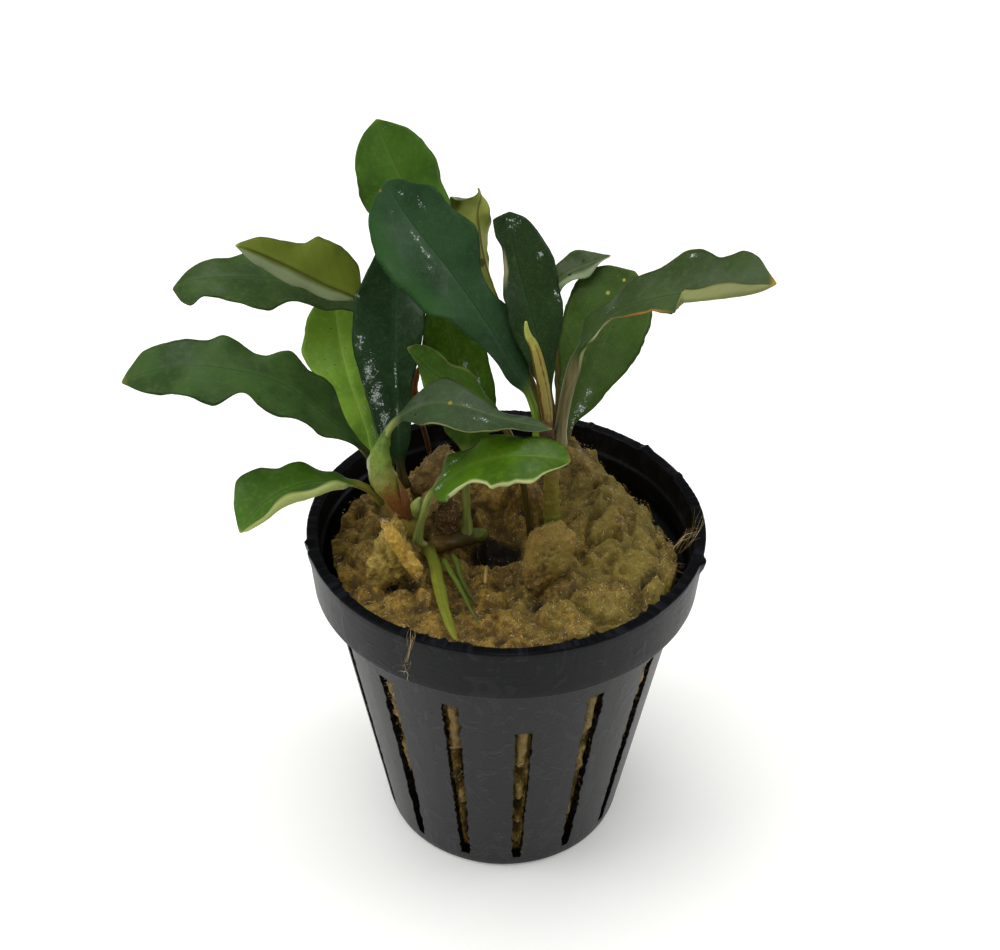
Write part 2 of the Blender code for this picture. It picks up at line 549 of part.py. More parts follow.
def build_leaf(name, leaf, collection, material):
    """Loft a leaf from its stalk's foot to its tip, with the same diagonals on its face and its back."""
    path, across, upper, share = blade_frames(leaf)
    first = share[0]
    stalk_steps = max(2, round(leaf.stalk * MM / PETIOLE_STEP)) if leaf.stalk > 1 else 1
    stations = list(np.linspace(first, 0.0, stalk_steps, endpoint=False))
    stations += [0.5 - 0.5 * math.cos(math.pi * k / BLADE_STEPS) for k in range(BLADE_STEPS)] + [0.995]
    bm = bmesh.new()
    rings = []
    for station in stations:
        centre, side, up = (
            np.array([np.interp(station, share, values[:, k]) for k in range(3)])
            for values in (path, across, upper))
        section = leaf_section(leaf, station)
        rings.append([bm.verts.new(centre + side * a * MM + up * b * MM) for a, b in section])
    for low, high in zip(rings, rings[1:]):
        for k in range(RING_POINTS):
            after = (k + 1) % RING_POINTS
            if k < RING_POINTS // 2:
                bm.faces.new((low[k], low[after], high[after]))
                bm.faces.new((low[k], high[after], high[k]))
            else:
                bm.faces.new((low[k], low[after], high[k]))
                bm.faces.new((low[after], high[after], high[k]))
    bm.faces.new(list(reversed(rings[0])))
    bm.faces.new(rings[-1])
    return new_object(name, mesh_from_bmesh(name, bm, 60), collection, material)


def build_tube(name, tube, collection, material):
    """Draw a stem or root as a curve with a round bevel."""
    curve = bpy.data.curves.new(name, "CURVE")
    curve.dimensions = "3D"
    curve.bevel_depth = MM
    curve.bevel_resolution = 2
    curve.use_fill_caps = True
    count = 3 * (len(tube.points) - 1) + 1
    path, length = smooth_path(tube.points, count)
    spans = np.linalg.norm(np.diff(np.asarray(tube.points), axis=0), axis=1)
    marks = np.concatenate([[0.0], np.cumsum(spans)]) / spans.sum()
    radii = np.interp(np.linspace(0.0, 1.0, count), marks, tube.radii)
    spline = curve.splines.new("POLY")
    spline.points.add(count - 1)
    for point, place, radius in zip(spline.points, path, radii):
        point.co = (*(place * MM), 1.0)
        point.radius = radius
    return new_object(name, curve, collection, material)


def build_shred(name, shred, collection, material):
    """Shape a torn lump of wool from a ball with uneven swelling."""
    bm = bmesh.new()
    bmesh.ops.create_icosphere(bm, subdivisions=2, radius=1.0)
    for vert in bm.verts:
        swell = 1.0 + 0.28 * noise.noise(vert.co * 1.6 + Vector((shred.seed * 7.0, 0.0, 0.0)))
        vert.co *= swell
        vert.co = Vector([vert.co[k] * shred.half[k] * MM for k in range(3)])
    obj = new_object(name, mesh_from_bmesh(name, bm, 50), collection, material)
    obj.location = Vector(shred.centre) * MM
    obj.rotation_euler = [math.radians(angle) for angle in shred.turn]
    return obj


def main():
    """Build the whole plant in its pot."""
    clear_scene()
    parts = new_collection("potted_bucephalandra")
    cutters = new_collection("cutters")
    materials = {name: new_material(name, *look) for name, look in COLOURS.items()}
    build_pot(parts, cutters, materials["black_plastic"])
    build_wool(parts, materials["wet_rock_wool"])
    for name, shred in SHREDS.items():
        colour = "yellow_rock_wool" if name == "wool_flake" else "wet_rock_wool"
        build_shred(name, shred, parts, materials[colour])
    for name, leaf in LEAVES.items():
        build_leaf(name, leaf, parts, materials[LEAF_COLOUR.get(name, "dark_leaf")])
    tube_colour = {"rolled_leaf": "new_leaf", "thin_root": "root"}
    for name, tube in TUBES.items():
        build_tube(name, tube, parts, materials[tube_colour.get(name, "stem")])


main()
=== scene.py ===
"""Potted bucephalandra, finished: every leaf, stem, root, the rock wool and the slotted net pot.

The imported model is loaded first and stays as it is. Each piece made here stands for one of its nodes, in
metres and in the same frame: the origin is under the pot's centre, +Z is up, +X is the viewer's right and
-Y is the front. The leaf, stem and wool tables repeat the model's own driving sizes, in millimetres.
"""

import math
from typing import NamedTuple

import bpy
import numpy as np
from bpy.props import FloatProperty, FloatVectorProperty, IntProperty, PointerProperty
from mathutils import Euler, Matrix, Vector, noise


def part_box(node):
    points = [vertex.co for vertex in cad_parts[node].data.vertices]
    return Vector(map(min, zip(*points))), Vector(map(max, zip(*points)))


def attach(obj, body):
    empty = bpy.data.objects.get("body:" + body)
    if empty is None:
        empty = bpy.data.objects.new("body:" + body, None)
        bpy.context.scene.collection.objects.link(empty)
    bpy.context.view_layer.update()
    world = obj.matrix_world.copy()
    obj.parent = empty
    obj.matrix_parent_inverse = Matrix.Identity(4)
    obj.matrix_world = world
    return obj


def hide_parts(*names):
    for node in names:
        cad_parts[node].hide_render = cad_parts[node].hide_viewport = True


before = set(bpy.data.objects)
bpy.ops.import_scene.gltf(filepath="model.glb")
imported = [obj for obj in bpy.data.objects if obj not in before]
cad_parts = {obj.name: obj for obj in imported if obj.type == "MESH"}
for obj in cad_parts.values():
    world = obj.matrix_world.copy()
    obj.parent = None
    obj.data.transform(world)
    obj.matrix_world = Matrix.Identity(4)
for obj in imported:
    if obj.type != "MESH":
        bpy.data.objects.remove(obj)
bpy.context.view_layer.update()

bl_info = {
    "name": "Potted bucephalandra",
    "version": (1, 0, 0),
    "blender": (4, 5, 0),
    "location": "View3D > Sidebar > Plant",
    "description": "Builds the finished surfaces of a small aquarium plant in its net pot",
    "category": "Add Mesh",
}

MM = 0.001

# Pot, in mm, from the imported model's own box where it shows there
POT_LOW, POT_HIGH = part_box("pot")
RIM_RADIUS = round((POT_HIGH.y - POT_LOW.y) / 2 / MM, 1)
POT_HEIGHT = round(POT_HIGH.z / MM, 1)
COLLAR_HEIGHT = 8.0
COLLAR_FOOT_RADIUS = RIM_RADIUS - 0.6
NECK_RADIUS = 23.4
FOOT_RADIUS = 16.8
POT_WALL = 1.0
RIM_BAND = 1.4
FLOOR_THICKNESS = 1.2
MOULD_RING_SPACING = 1.9
SHOULDER = POT_HEIGHT - COLLAR_HEIGHT
SLOT_COUNT = 15
FIRST_SLOT_DEGREES = 6.4
SLOT_TOP = 35.8
SLOT_FOOT = 2.2
SLOT_TOP_WIDTH = 2.3
SLOT_FOOT_WIDTH = 1.1
FRONT_SLOT = 0
FRONT_SLOT_TOP = 31.2

# Lumps of moulding flash on the rim: (degrees round the axis, half width, outward, upward) in degrees and mm
RIM_FLASH = (
    (-18.0, 1.6, 0.75, 0.25), (40.0, 1.3, 0.1, 0.65), (197.0, 2.2, 0.35, 0.30), (191.5, 1.1, 0.45, 0.1),
    (24.0, 1.0, 0.2, 0.3), (62.0, 0.8, 0.0, 0.35),
)

# Rock wool, in mm
WOOL_LEVEL = 46.4
WOOL_CLEARANCE = 0.35
WOOL_NOISE_RADIUS = 22.0
# Heights between which its side leaves the wall for its top edge, and turns from felted to torn
WOOL_NECK = (40.0, 45.5)
WOOL_LIP = (38.0, 40.5)
# How far the wool's top edge draws in from the rim, by degrees round the axis
WOOL_INSET = {
    -180: 1.4, -135: 0.6, -90: 0.3, -45: 0.3, -15: 1.2,
    15: 4.6, 45: 6.4, 90: 5.6, 135: 3.4, 180: 1.4,
}

# Meshes, as cells round each piece and along it
POT_RING = 480
WOOL_RING, WOOL_ROWS = 448, (96, 92, 8)
LEAF_RING, LEAF_ROWS = 48, 130
SLOT_ROWS = 110
STRAND_SIDES = 3
TUBE_RING = 28
ROLL_RING, ROLL_ROWS = 48, 110
SHRED_RING, SHRED_ROWS = 110, 80
TUBE_POINTS = 200

# Leaf sections, in mm, and the share of a blade over which its stalk widens to it
LEAF_HALF_THICKNESS = 0.24
LEAF_TIP_HALF_WIDTH = 0.12
VEIN_SPACING = 1.9
VEIN_SLANT = 0.85
LEAF_FOOT_DEPTH = 1.2
STALK_BLEND = 0.16

# The right stem's leaf scars, in mm from one to the next
LEAF_SCAR_SPACING = 2.1


class Hill(NamedTuple):
    """A mound (or, below zero, a hollow) in the top of the wool, in mm."""
    x: float
    y: float
    height: float
    radius: float


HILLS = (
    Hill(9.0, 12.0, 5.6, 6.5),
    Hill(-3.0, 13.0, 3.0, 6.0),
    Hill(13.5, 1.5, 3.6, 4.6),
    Hill(17.0, -5.0, 1.6, 3.6),
    Hill(-10.5, 5.0, 3.2, 4.2),
    Hill(-1.2, -0.6, -7.0, 3.7),
    Hill(-6.8, -2.6, -1.6, 3.0),
    Hill(5.8, 2.4, -2.0, 2.4),
    Hill(9.5, -8.0, 1.3, 4.0),
    Hill(-16.5, -7.0, 1.4, 4.0),
    Hill(19.0, -9.0, 1.4, 3.0),
    Hill(-13.9, -10.6, 0.7, 2.6),
    Hill(5.0, -10.4, 0.5, 2.6),
    Hill(-8.2, 1.4, 0.9, 2.4),
)


class Leaf(NamedTuple):
    """A leaf with its stalk. Points and lengths are in mm, angles in degrees.

    midrib runs from the stalk's foot to the tip; stalk is the length before the blade starts.
    roll turns the blade about its midrib, at its start and at its tip.
    left and right are (share of the blade, half width), seen from above with the tip ahead.
    cup lifts both halves out of flat; wave is the margin's rise and fall, with that many waves.
    curls are (side, start, end, depth, degrees, radius): a margin, as deep as that share of the half
    width, that rolls up, or folds flat where the radius in mm is small. Side 1 is the right one, and
    degrees below zero turn it down. stalk_flat is a stalk's width over its thickness.
    """
    midrib: tuple
    stalk: float
    roll: tuple
    left: tuple
    right: tuple
    cup: float = 10
    wave: float = 0.3
    waves: float = 3.5
    stalk_radius: float = 0.5
    stem: str = ""
    curls: tuple = ()
    stalk_flat: float = 1.0


LEAVES = {
    "left_leaf_long": Leaf(
        midrib=((-16.9, 0.2, 53.4), (-17.4, 0.0, 58.0), (-21.9, -0.6, 63.8), (-27.9, -1.2, 69.8),
                (-36.9, -1.8, 72.5), (-41.6, -1.8, 72.0), (-46.8, -2.0, 70.1)),
        stalk=5, roll=(5, 25),
        left=((0.17, 3.0), (0.42, 5.8), (0.50, 5.4), (0.56, 4.2), (0.65, 6.3), (0.72, 5.8), (0.82, 4.2),
              (0.90, 3.4)),
        right=((0.10, 1.9), (0.18, 4.0), (0.30, 5.3), (0.43, 5.0), (0.51, 3.2), (0.59, 4.0), (0.65, 4.4),
               (0.70, 3.9), (0.77, 4.1), (0.83, 3.4), (0.90, 3.3), (0.96, 1.6)),
        cup=8, wave=0.5, waves=5, stem="left_shoot"),
    "left_leaf_upper": Leaf(
        midrib=((-13.9, 2.1, 51.9), (-14.4, 7.6, 56.6), (-15.2, 11.8, 62.6), (-17.3, 14.4, 69.9),
                (-20.4, 14.4, 73.2), (-28.3, 13.0, 76.2), (-38.5, 10.2, 77.8), (-41.9, 9.3, 76.7)),
        stalk=22.7, roll=(15, 20),
        left=((0.12, 2.6), (0.32, 4.4), (0.48, 4.3), (0.58, 6.2), (0.65, 6.6), (0.73, 5.1), (0.80, 3.5),
              (0.86, 3.3), (0.93, 4.4), (0.98, 2.8)),
        right=((0.12, 2.4), (0.35, 4.4), (0.60, 4.6), (0.76, 2.9), (0.81, 2.7), (0.90, 2.0), (0.96, 0.8)),
        cup=6, wave=0.4, waves=4, stem="left_shoot"),
    "left_leaf_olive": Leaf(
        midrib=((-15.2, 2.5, 53.0), (-15.0, 5.6, 58.0), (-15.4, 9.0, 65.2), (-17.5, 11.2, 73.2),
                (-23.5, 10.2, 77.6), (-31.2, 8.6, 82.6), (-33.3, 8.2, 83.5)),
        stalk=23.6, roll=(-95, -105),
        left=((0.18, 4.2), (0.34, 5.2), (0.49, 5.1), (0.57, 3.4), (0.72, 2.6), (0.85, 2.0), (0.94, 0.9)),
        right=((0.15, 1.6), (0.40, 2.4), (0.60, 2.4), (0.80, 1.8), (0.93, 0.9)),
        cup=22, waves=3, stem="left_shoot"),
    "left_leaf_light": Leaf(
        midrib=((-16.3, 2.0, 53.6), (-17.0, 2.6, 55.0), (-17.6, 3.4, 56.8), (-18.1, 4.6, 58.7),
                (-20.4, 8.6, 64.0), (-22.3, 14.2, 69.4), (-22.4, 17.4, 72.7)),
        stalk=1.5, roll=(0, 15),
        left=((0.02, 1.2), (0.12, 1.7), (0.27, 2.2), (0.43, 3.6), (0.58, 4.6), (0.68, 5.2), (0.76, 4.4),
              (0.86, 3.6), (0.95, 1.8)),
        right=((0.02, 1.2), (0.12, 1.7), (0.27, 2.0), (0.43, 3.2), (0.64, 4.4), (0.80, 3.8), (0.94, 1.8)),
        cup=12, stem="left_shoot"),
    "left_leaf_glossy": Leaf(
        midrib=((-13.1, 1.0, 52.8), (-13.9, 2.0, 57.4), (-14.1, 4.2, 63.6), (-14.3, 6.2, 68.1),
                (-14.3, 8.4, 73.0), (-14.3, 10.4, 77.4), (-15.5, 12.6, 82.8)),
        stalk=2.2, roll=(30, 10),
        left=((0.04, 1.4), (0.15, 2.4), (0.29, 3.7), (0.43, 4.5), (0.58, 5.5), (0.71, 5.3), (0.82, 4.3),
              (0.93, 2.2)),
        right=((0.04, 1.4), (0.15, 2.1), (0.28, 2.4), (0.38, 2.6), (0.46, 3.3), (0.59, 4.6), (0.66, 5.2),
               (0.77, 4.6), (0.91, 2.6)),
        cup=18, stem="left_shoot"),
    "left_leaf_low": Leaf(
        midrib=((-16.0, -1.6, 52.4), (-17.6, -2.7, 55.1), (-19.3, -3.6, 56.6), (-22.6, -5.0, 57.8),
                (-25.6, -6.3, 58.2), (-29.1, -8.0, 57.3), (-32.9, -9.8, 53.4)),
        stalk=5.4, roll=(0, 15),
        left=((0.05, 1.9), (0.16, 3.6), (0.32, 4.8), (0.46, 5.2), (0.56, 5.0), (0.66, 4.4),
              (0.80, 3.7), (0.92, 2.2)),
        right=((0.06, 1.2), (0.24, 2.4), (0.37, 3.2), (0.50, 3.4), (0.62, 4.8), (0.75, 4.9), (0.88, 3.5),
               (0.96, 1.3)),
        cup=12, wave=0.4, waves=3, stem="left_shoot", curls=((-1, 0.0, 1.02, 0.40, 160, 0.45),)),
    "left_leaf_spotted": Leaf(
        midrib=((-15.0, -2.1, 52.6), (-16.0, -1.9, 56.0), (-15.8, -1.8, 59.5), (-14.7, -1.9, 63.6),
                (-12.2, -2.3, 66.4), (-8.1, -3.4, 68.6), (0.1, -6.0, 67.9), (5.3, -7.4, 67.6)),
        stalk=12.2, roll=(-30, -10),
        left=((0.12, 1.2), (0.23, 1.8), (0.29, 2.9), (0.35, 3.7), (0.46, 2.6), (0.54, 1.8), (0.67, 1.2),
              (0.85, 1.0)),
        right=((0.12, 1.4), (0.27, 3.6), (0.46, 4.3), (0.54, 4.2), (0.70, 3.1), (0.79, 1.8), (0.91, 1.1)),
        cup=8, waves=3, stem="left_shoot", curls=((1, 0.1, 0.95, 0.16, 100, 9.0),),
        stalk_radius=0.45, stalk_flat=1.2),
    "mid_leaf_bright": Leaf(
        midrib=((-11.3, -5.4, 48.9), (-10.8, -5.6, 52.1), (-9.6, -6.0, 56.4), (-7.0, -7.1, 60.2),
                (-4.0, -8.0, 62.6), (1.1, -9.2, 64.9), (7.5, -10.2, 64.9)),
        stalk=8, roll=(-20, -20),
        left=((0.06, 1.6), (0.22, 3.1), (0.41, 3.2), (0.59, 3.5), (0.73, 2.4), (0.84, 2.6), (0.94, 2.0)),
        right=((0.06, 1.4), (0.18, 3.6), (0.31, 4.8), (0.42, 3.2), (0.51, 4.1), (0.58, 5.6), (0.66, 5.6),
               (0.72, 4.7), (0.80, 4.6), (0.86, 3.2), (0.94, 1.7)),
        cup=8, wave=0.4, stem="rhizome", curls=((1, 0.25, 1.0, 0.14, 130, 0.7),)),
    "mid_leaf_small": Leaf(
        midrib=((3.1, 0.3, 45.2), (2.2, 0.9, 52.8), (0.8, 1.6, 59.0), (-1.2, 2.0, 63.0), (-3.8, 2.2, 65.7),
                (-8.8, 2.4, 68.7), (-12.4, 3.0, 72.5)),
        stalk=17.5, roll=(15, 20),
        left=((0.15, 1.4), (0.40, 2.8), (0.60, 3.4), (0.71, 3.2), (0.78, 1.9), (0.86, 1.0)),
        right=((0.18, 1.0), (0.32, 1.8), (0.49, 3.2), (0.70, 2.7), (0.82, 2.7), (0.96, 1.4)),
        cup=12, waves=3),
    "mid_leaf_broad": Leaf(
        midrib=((-5.2, -1.3, 48.0), (-5.3, 0.4, 52.9), (-5.2, 2.2, 57.1), (-5.4, 4.2, 61.2),
                (-6.0, 6.2, 65.2), (-8.0, 9.8, 73.8), (-9.2, 11.0, 77.0)),
        stalk=9.5, roll=(0, 5),
        left=((0.06, 2.0), (0.18, 3.0), (0.35, 4.0), (0.55, 4.6), (0.75, 4.2), (0.92, 2.0)),
        right=((0.05, 2.4), (0.18, 3.6), (0.33, 4.2), (0.57, 4.1), (0.75, 3.6), (0.92, 1.8)),
        cup=12, stalk_radius=0.62, stem="rhizome"),
    "right_leaf_large": Leaf(
        midrib=((3.8, 0.1, 61.1), (3.0, 1.0, 65.9), (-0.4, 2.2, 72.3), (-3.1, 3.1, 76.6), (-6.5, 4.1, 81.5),
                (-12.4, 5.6, 89.3), (-14.5, 6.2, 93.1)),
        stalk=5.2, roll=(25, 35),
        left=((0.10, 2.0), (0.20, 2.2), (0.29, 2.4), (0.38, 3.4), (0.47, 4.7), (0.55, 6.6), (0.65, 6.8),
              (0.74, 7.8), (0.80, 7.6), (0.87, 6.2), (0.93, 4.8), (0.97, 2.8)),
        right=((0.08, 1.5), (0.21, 3.0), (0.32, 3.7), (0.42, 2.9), (0.51, 3.4), (0.58, 4.7), (0.66, 6.0),
               (0.77, 5.3), (0.88, 4.8), (0.93, 3.2), (0.98, 1.7)),
        cup=10, wave=0.4, stem="right_stem"),
    "right_leaf_back": Leaf(
        midrib=((4.5, 1.6, 60.8), (2.0, 6.0, 66.7), (-2.8, 10.5, 72.9), (-7.4, 14.0, 78.6),
                (-11.0, 16.0, 84.2), (-13.6, 17.0, 88.8), (-16.4, 17.7, 95.9)),
        stalk=22.7, roll=(20, 40),
        left=((0.12, 2.4), (0.35, 5.0), (0.55, 6.4), (0.70, 6.6), (0.80, 6.0), (0.90, 4.6), (0.97, 2.6)),
        right=((0.12, 2.0), (0.38, 3.9), (0.51, 4.6), (0.62, 5.2), (0.76, 4.7), (0.86, 3.6), (0.93, 2.1)),
        cup=8, stem="right_stem"),
    "right_leaf_pale": Leaf(
        midrib=((5.1, 1.5, 62.1), (3.2, 4.0, 66.5), (0.6, 6.0, 71.9), (-1.6, 7.5, 76.4), (-3.0, 8.8, 80.4),
                (-3.7, 9.8, 83.7), (-3.9, 10.5, 86.5), (-3.6, 11.2, 88.6), (-3.9, 11.4, 89.9)),
        stalk=17.4, roll=(165, 180),
        left=((0.15, 1.0), (0.30, 1.2), (0.42, 0.9), (0.50, 1.6), (0.62, 2.0), (0.72, 1.7), (0.83, 1.3),
              (0.91, 0.5), (0.97, 0.22)),
        right=((0.15, 1.8), (0.40, 3.0), (0.60, 3.8), (0.74, 4.8), (0.84, 5.6), (0.90, 4.2), (0.945, 0.9),
               (0.97, 0.25)),
        cup=15, waves=3, stem="right_stem", curls=((1, 0.62, 1.0, 0.36, -170, 0.6),)),
    "right_leaf_dark": Leaf(
        midrib=((6.3, 0.5, 62.0), (5.3, 1.8, 65.4), (4.2, 3.8, 70.6), (2.9, 5.6, 75.2), (1.7, 7.0, 79.1),
                (0.6, 8.5, 83.3), (-0.1, 10.0, 87.5)),
        stalk=4, roll=(5, 10),
        left=((0.12, 1.6), (0.35, 3.2), (0.58, 3.8), (0.64, 3.2), (0.72, 2.2), (0.82, 1.8), (0.90, 2.4),
              (0.97, 2.3)),
        right=((0.10, 0.9), (0.22, 1.8), (0.35, 3.2), (0.50, 4.4), (0.60, 4.7), (0.72, 4.5), (0.86, 3.4),
               (0.96, 1.9)),
        cup=15, waves=3, stem="right_stem"),
    "right_leaf_small": Leaf(
        midrib=((6.1, 1.9, 60.9), (6.4, 6.5, 65.8), (5.8, 10.8, 70.6), (5.5, 13.8, 74.6), (7.0, 14.6, 76.4),
                (9.1, 15.2, 77.3), (12.9, 15.6, 78.8)),
        stalk=15.6, roll=(-10, -30),
        left=((0.15, 1.0), (0.35, 1.6), (0.52, 2.2), (0.64, 2.5), (0.82, 1.5), (0.94, 0.5)),
        right=((0.15, 0.9), (0.35, 1.4), (0.52, 1.8), (0.66, 1.9), (0.80, 1.2), (0.92, 0.4)),
        cup=12, wave=0.2, waves=2.5, stem="right_stem"),
    "right_leaf_broad": Leaf(
        midrib=((7.1, 1.0, 60.5), (8.0, 2.6, 62.4), (9.3, 4.8, 65.2), (11.0, 7.2, 68.4), (12.7, 9.6, 71.7),
                (14.4, 12.0, 74.9), (15.9, 13.8, 77.6)),
        stalk=0.6, roll=(0, 0),
        left=((0.05, 0.9), (0.155, 2.2), (0.23, 3.4), (0.37, 4.8), (0.55, 5.8), (0.69, 6.4), (0.81, 6.4),
              (0.91, 5.4), (0.97, 3.6)),
        right=((0.05, 0.9), (0.145, 2.1), (0.21, 3.0), (0.33, 4.3), (0.47, 5.4), (0.59, 6.3), (0.68, 6.3),
               (0.78, 5.7), (0.91, 3.4), (0.97, 1.6)),
        cup=15, wave=0.15, stem="right_stem"),
    "right_leaf_long": Leaf(
        midrib=((6.4, -1.2, 61.0), (7.0, 0.0, 66.4), (7.9, 0.5, 71.0), (8.8, 0.6, 74.1), (10.7, 0.3, 77.2),
                (13.0, -0.3, 79.8), (17.3, -1.1, 82.0), (26.3, -3.2, 84.6), (30.4, -4.0, 85.6)),
        stalk=10.6, roll=(-5, -25),
        left=((0.08, 1.4), (0.17, 2.6), (0.30, 3.3), (0.42, 3.6), (0.50, 4.3), (0.57, 5.3), (0.64, 5.9),
              (0.70, 5.7), (0.78, 4.7), (0.86, 4.9), (0.93, 3.7), (0.97, 1.6)),
        right=((0.08, 0.9), (0.20, 1.5), (0.40, 1.7), (0.50, 2.6), (0.56, 4.1), (0.70, 4.4), (0.82, 4.1),
               (0.93, 2.6)),
        cup=12, wave=0.4, waves=4, stem="right_stem", curls=((1, 0.60, 1.02, 0.60, 165, 0.24),),
        stalk_radius=0.72, stalk_flat=1.5),
    "withered_leaf": Leaf(
        midrib=((-9.3, 5.2, 50.0), (-10.6, 6.2, 57.0), (-11.9, 6.8, 62.5), (-11.2, 7.4, 67.2)),
        stalk=8.7, roll=(20, -30),
        left=((0.20, 0.8), (0.50, 1.1), (0.80, 0.7)),
        right=((0.20, 0.7), (0.50, 1.0), (0.80, 0.8)),
        cup=30, wave=0.3, waves=2, stalk_radius=0.35),
    "thick_root": Leaf(
        midrib=((-9.9, -5.8, 47.4), (-9.2, -8.2, 48.2), (-8.6, -11.0, 47.9), (-8.0, -14.5, 47.8),
                (-7.2, -18.2, 47.7), (-5.9, -21.9, 46.9)),
        stalk=0.6, roll=(0, 10),
        left=((0.08, 0.8), (0.30, 0.85), (0.60, 0.75), (0.85, 0.6), (0.97, 0.35)),
        right=((0.08, 0.8), (0.30, 0.85), (0.60, 0.75), (0.85, 0.6), (0.97, 0.35)),
        cup=-14, wave=0.1, stalk_radius=0.6, stem="rhizome"),
}


class Tube(NamedTuple):
    """A round stem or root: centre points and a radius at each, in mm."""
    points: tuple
    radii: tuple


TUBES = {
    "rhizome": Tube(
        ((-10.0, -4.5, 47.1), (-8.4, -3.6, 47.0), (-6.6, -2.6, 46.7), (-4.6, -1.5, 46.6), (-2.4, -0.6, 46.7)),
        (0.9, 1.1, 1.0, 1.05, 0.7)),
    "left_shoot": Tube(
        ((-11.2, -3.6, 48.0), (-12.4, -2.2, 49.3), (-13.8, -0.8, 50.7), (-15.0, 0.3, 51.8),
         (-15.4, 0.9, 52.7)),
        (1.2, 1.5, 1.6, 1.4, 0.9)),
    "right_stem": Tube(
        ((5.9, -0.9, 46.4), (5.9, -0.6, 50.0), (5.7, -0.2, 54.0), (5.6, 0.0, 57.5), (5.4, 0.1, 60.2),
         (5.4, 0.3, 61.2)),
        (1.0, 1.1, 0.95, 1.05, 1.25, 0.8)),
    "rolled_leaf": Tube(
        ((5.1, -1.4, 61.1), (4.8, -1.3, 66.0), (4.3, -1.2, 69.6), (3.6, -0.9, 73.0), (3.0, -0.6, 75.2),
         (2.3, -0.4, 76.4), (2.0, -0.3, 78.3)),
        (0.45, 0.70, 0.74, 0.66, 0.52, 0.40, 0.13)),
    "thin_root": Tube(
        ((-6.9, -6.2, 47.2), (-6.3, -8.6, 48.0), (-5.6, -11.2, 47.4), (-4.6, -13.6, 47.2),
         (-3.6, -15.8, 47.2)),
        (0.3, 0.4, 0.35, 0.3, 0.2)),
}


FIBRES_ON_A_LUMP = 450

# Bundles of loose fibres, in mm: (start, end, count, spread, bow)
TUFTS = (
    ((21.6, -5.4, 47.4), (24.0, -4.4, 50.4), 16, 0.55, (0.0, 0.0, 0.9)),
    ((22.4, -5.0, 47.8), (25.0, -2.6, 52.6), 5, 0.6, (0.8, 0.0, 0.6)),
    ((18.0, -9.0, 48.6), (22.0, -10.4, 48.8), 8, 0.6, (0.0, 0.0, 0.4)),
    ((-10.9, -22.8, 49.0), (-11.9, -25.4, 46.4), 7, 0.30, (0.0, -1.0, 0.9)),
    ((-11.4, -25.3, 46.4), (-13.0, -24.9, 44.0), 5, 0.7, (0.2, -0.5, 0.0)),
)


class Shred(NamedTuple):
    """A torn lump of wool: centre, half sizes and turn about X, Y and Z. Lengths in mm, angles in degrees.

    taper narrows it towards its foot, and lump is how far its skin swells and sinks, as shares.
    """
    centre: tuple
    half: tuple
    turn: tuple
    seed: float
    taper: float = 0.0
    lump: float = 0.28


SHREDS = {
    "wool_flake": Shred((-12.6, -10.5, 50.9), (0.95, 0.7, 4.6), (-22, -26, 20), 1.0, 0.12, 0.30),
    "wool_lump": Shred((5.0, -10.0, 50.0), (2.7, 2.2, 5.3), (-16, 22, 10), 2.0, 0.38, 0.18),
    "wool_shred": Shred((-10.2, 2.4, 53.2), (1.7, 1.2, 4.1), (-10, 36, 20), 3.0, 0.1, 0.45),
    "wool_flake_felt": Shred((-14.6, -9.3, 49.7), (2.5, 1.3, 4.2), (-20, 14, 10), 4.0, -0.1, 0.5),
    "wool_scrap_pale": Shred((-9.8, -1.9, 52.6), (1.2, 0.9, 3.6), (-8, 22, 0), 5.0, -0.2, 0.5),
    "wool_scrap_orange": Shred((-7.4, -1.6, 50.0), (1.5, 1.1, 2.4), (-10, 8, 0), 6.0, 0.1, 0.35),
}


def linear(colour):
    """Linear colour with full alpha from an sRGB hex string."""
    channels = [int(colour[k:k + 2], 16) / 255 for k in (1, 3, 5)]
    return (*(c / 12.92 if c <= 0.04045 else ((c + 0.055) / 1.055) ** 2.4 for c in channels), 1.0)


def shaded(colour, share):
    """The linear colour of an sRGB hex string, darkened to a share of its light."""
    return (*(c * share for c in linear(colour)[:3]), 1.0)


def put(tree, kind, settings=None, inputs=None, output=0):
    """Add a node, set it up, fill its inputs with values or links, and hand back one of its outputs."""
    node = tree.nodes.new(kind)
    for name, value in (settings or {}).items():
        setattr(node, name, value)
    for key, value in (inputs or {}).items():
        if isinstance(value, bpy.types.NodeSocket):
            tree.links.new(value, node.inputs[key])
        else:
            node.inputs[key].default_value = value
    return node.outputs[output]


def math_of(tree, operation, *values):
    """A Math node on values or links."""
    return put(tree, "ShaderNodeMath", {"operation": operation}, dict(enumerate(values)))


def times(tree, first, second):
    """Their product."""
    return math_of(tree, "MULTIPLY", first, second)


def times_plus(tree, first, second, third):
    """The product of the first two, plus the third."""
    return math_of(tree, "MULTIPLY_ADD", first, second, third)


def larger(tree, first, second):
    """The larger of the two."""
    return math_of(tree, "MAXIMUM", first, second)


def vector_of(tree, operation, first, second=(0.0, 0.0, 0.0), output=0):
    """A Vector Math node on values or links. Its output 1 is a number."""
    return put(tree, "ShaderNodeVectorMath", {"operation": operation}, {0: first, 1: second}, output)


def blend(tree, share, low, high):
    """The low colour where share is 0 and the high one where it is 1."""
    return put(tree, "ShaderNodeMix", {"data_type": "RGBA"}, {0: share, 6: low, 7: high}, 2)


def ease(tree, value, low, high, start=0.0, end=1.0):
    """A value from low to high, mapped smoothly to start and end."""
    return put(tree, "ShaderNodeMapRange", {"interpolation_type": "SMOOTHSTEP"},
               {0: value, 1: low, 2: high, 3: start, 4: end})


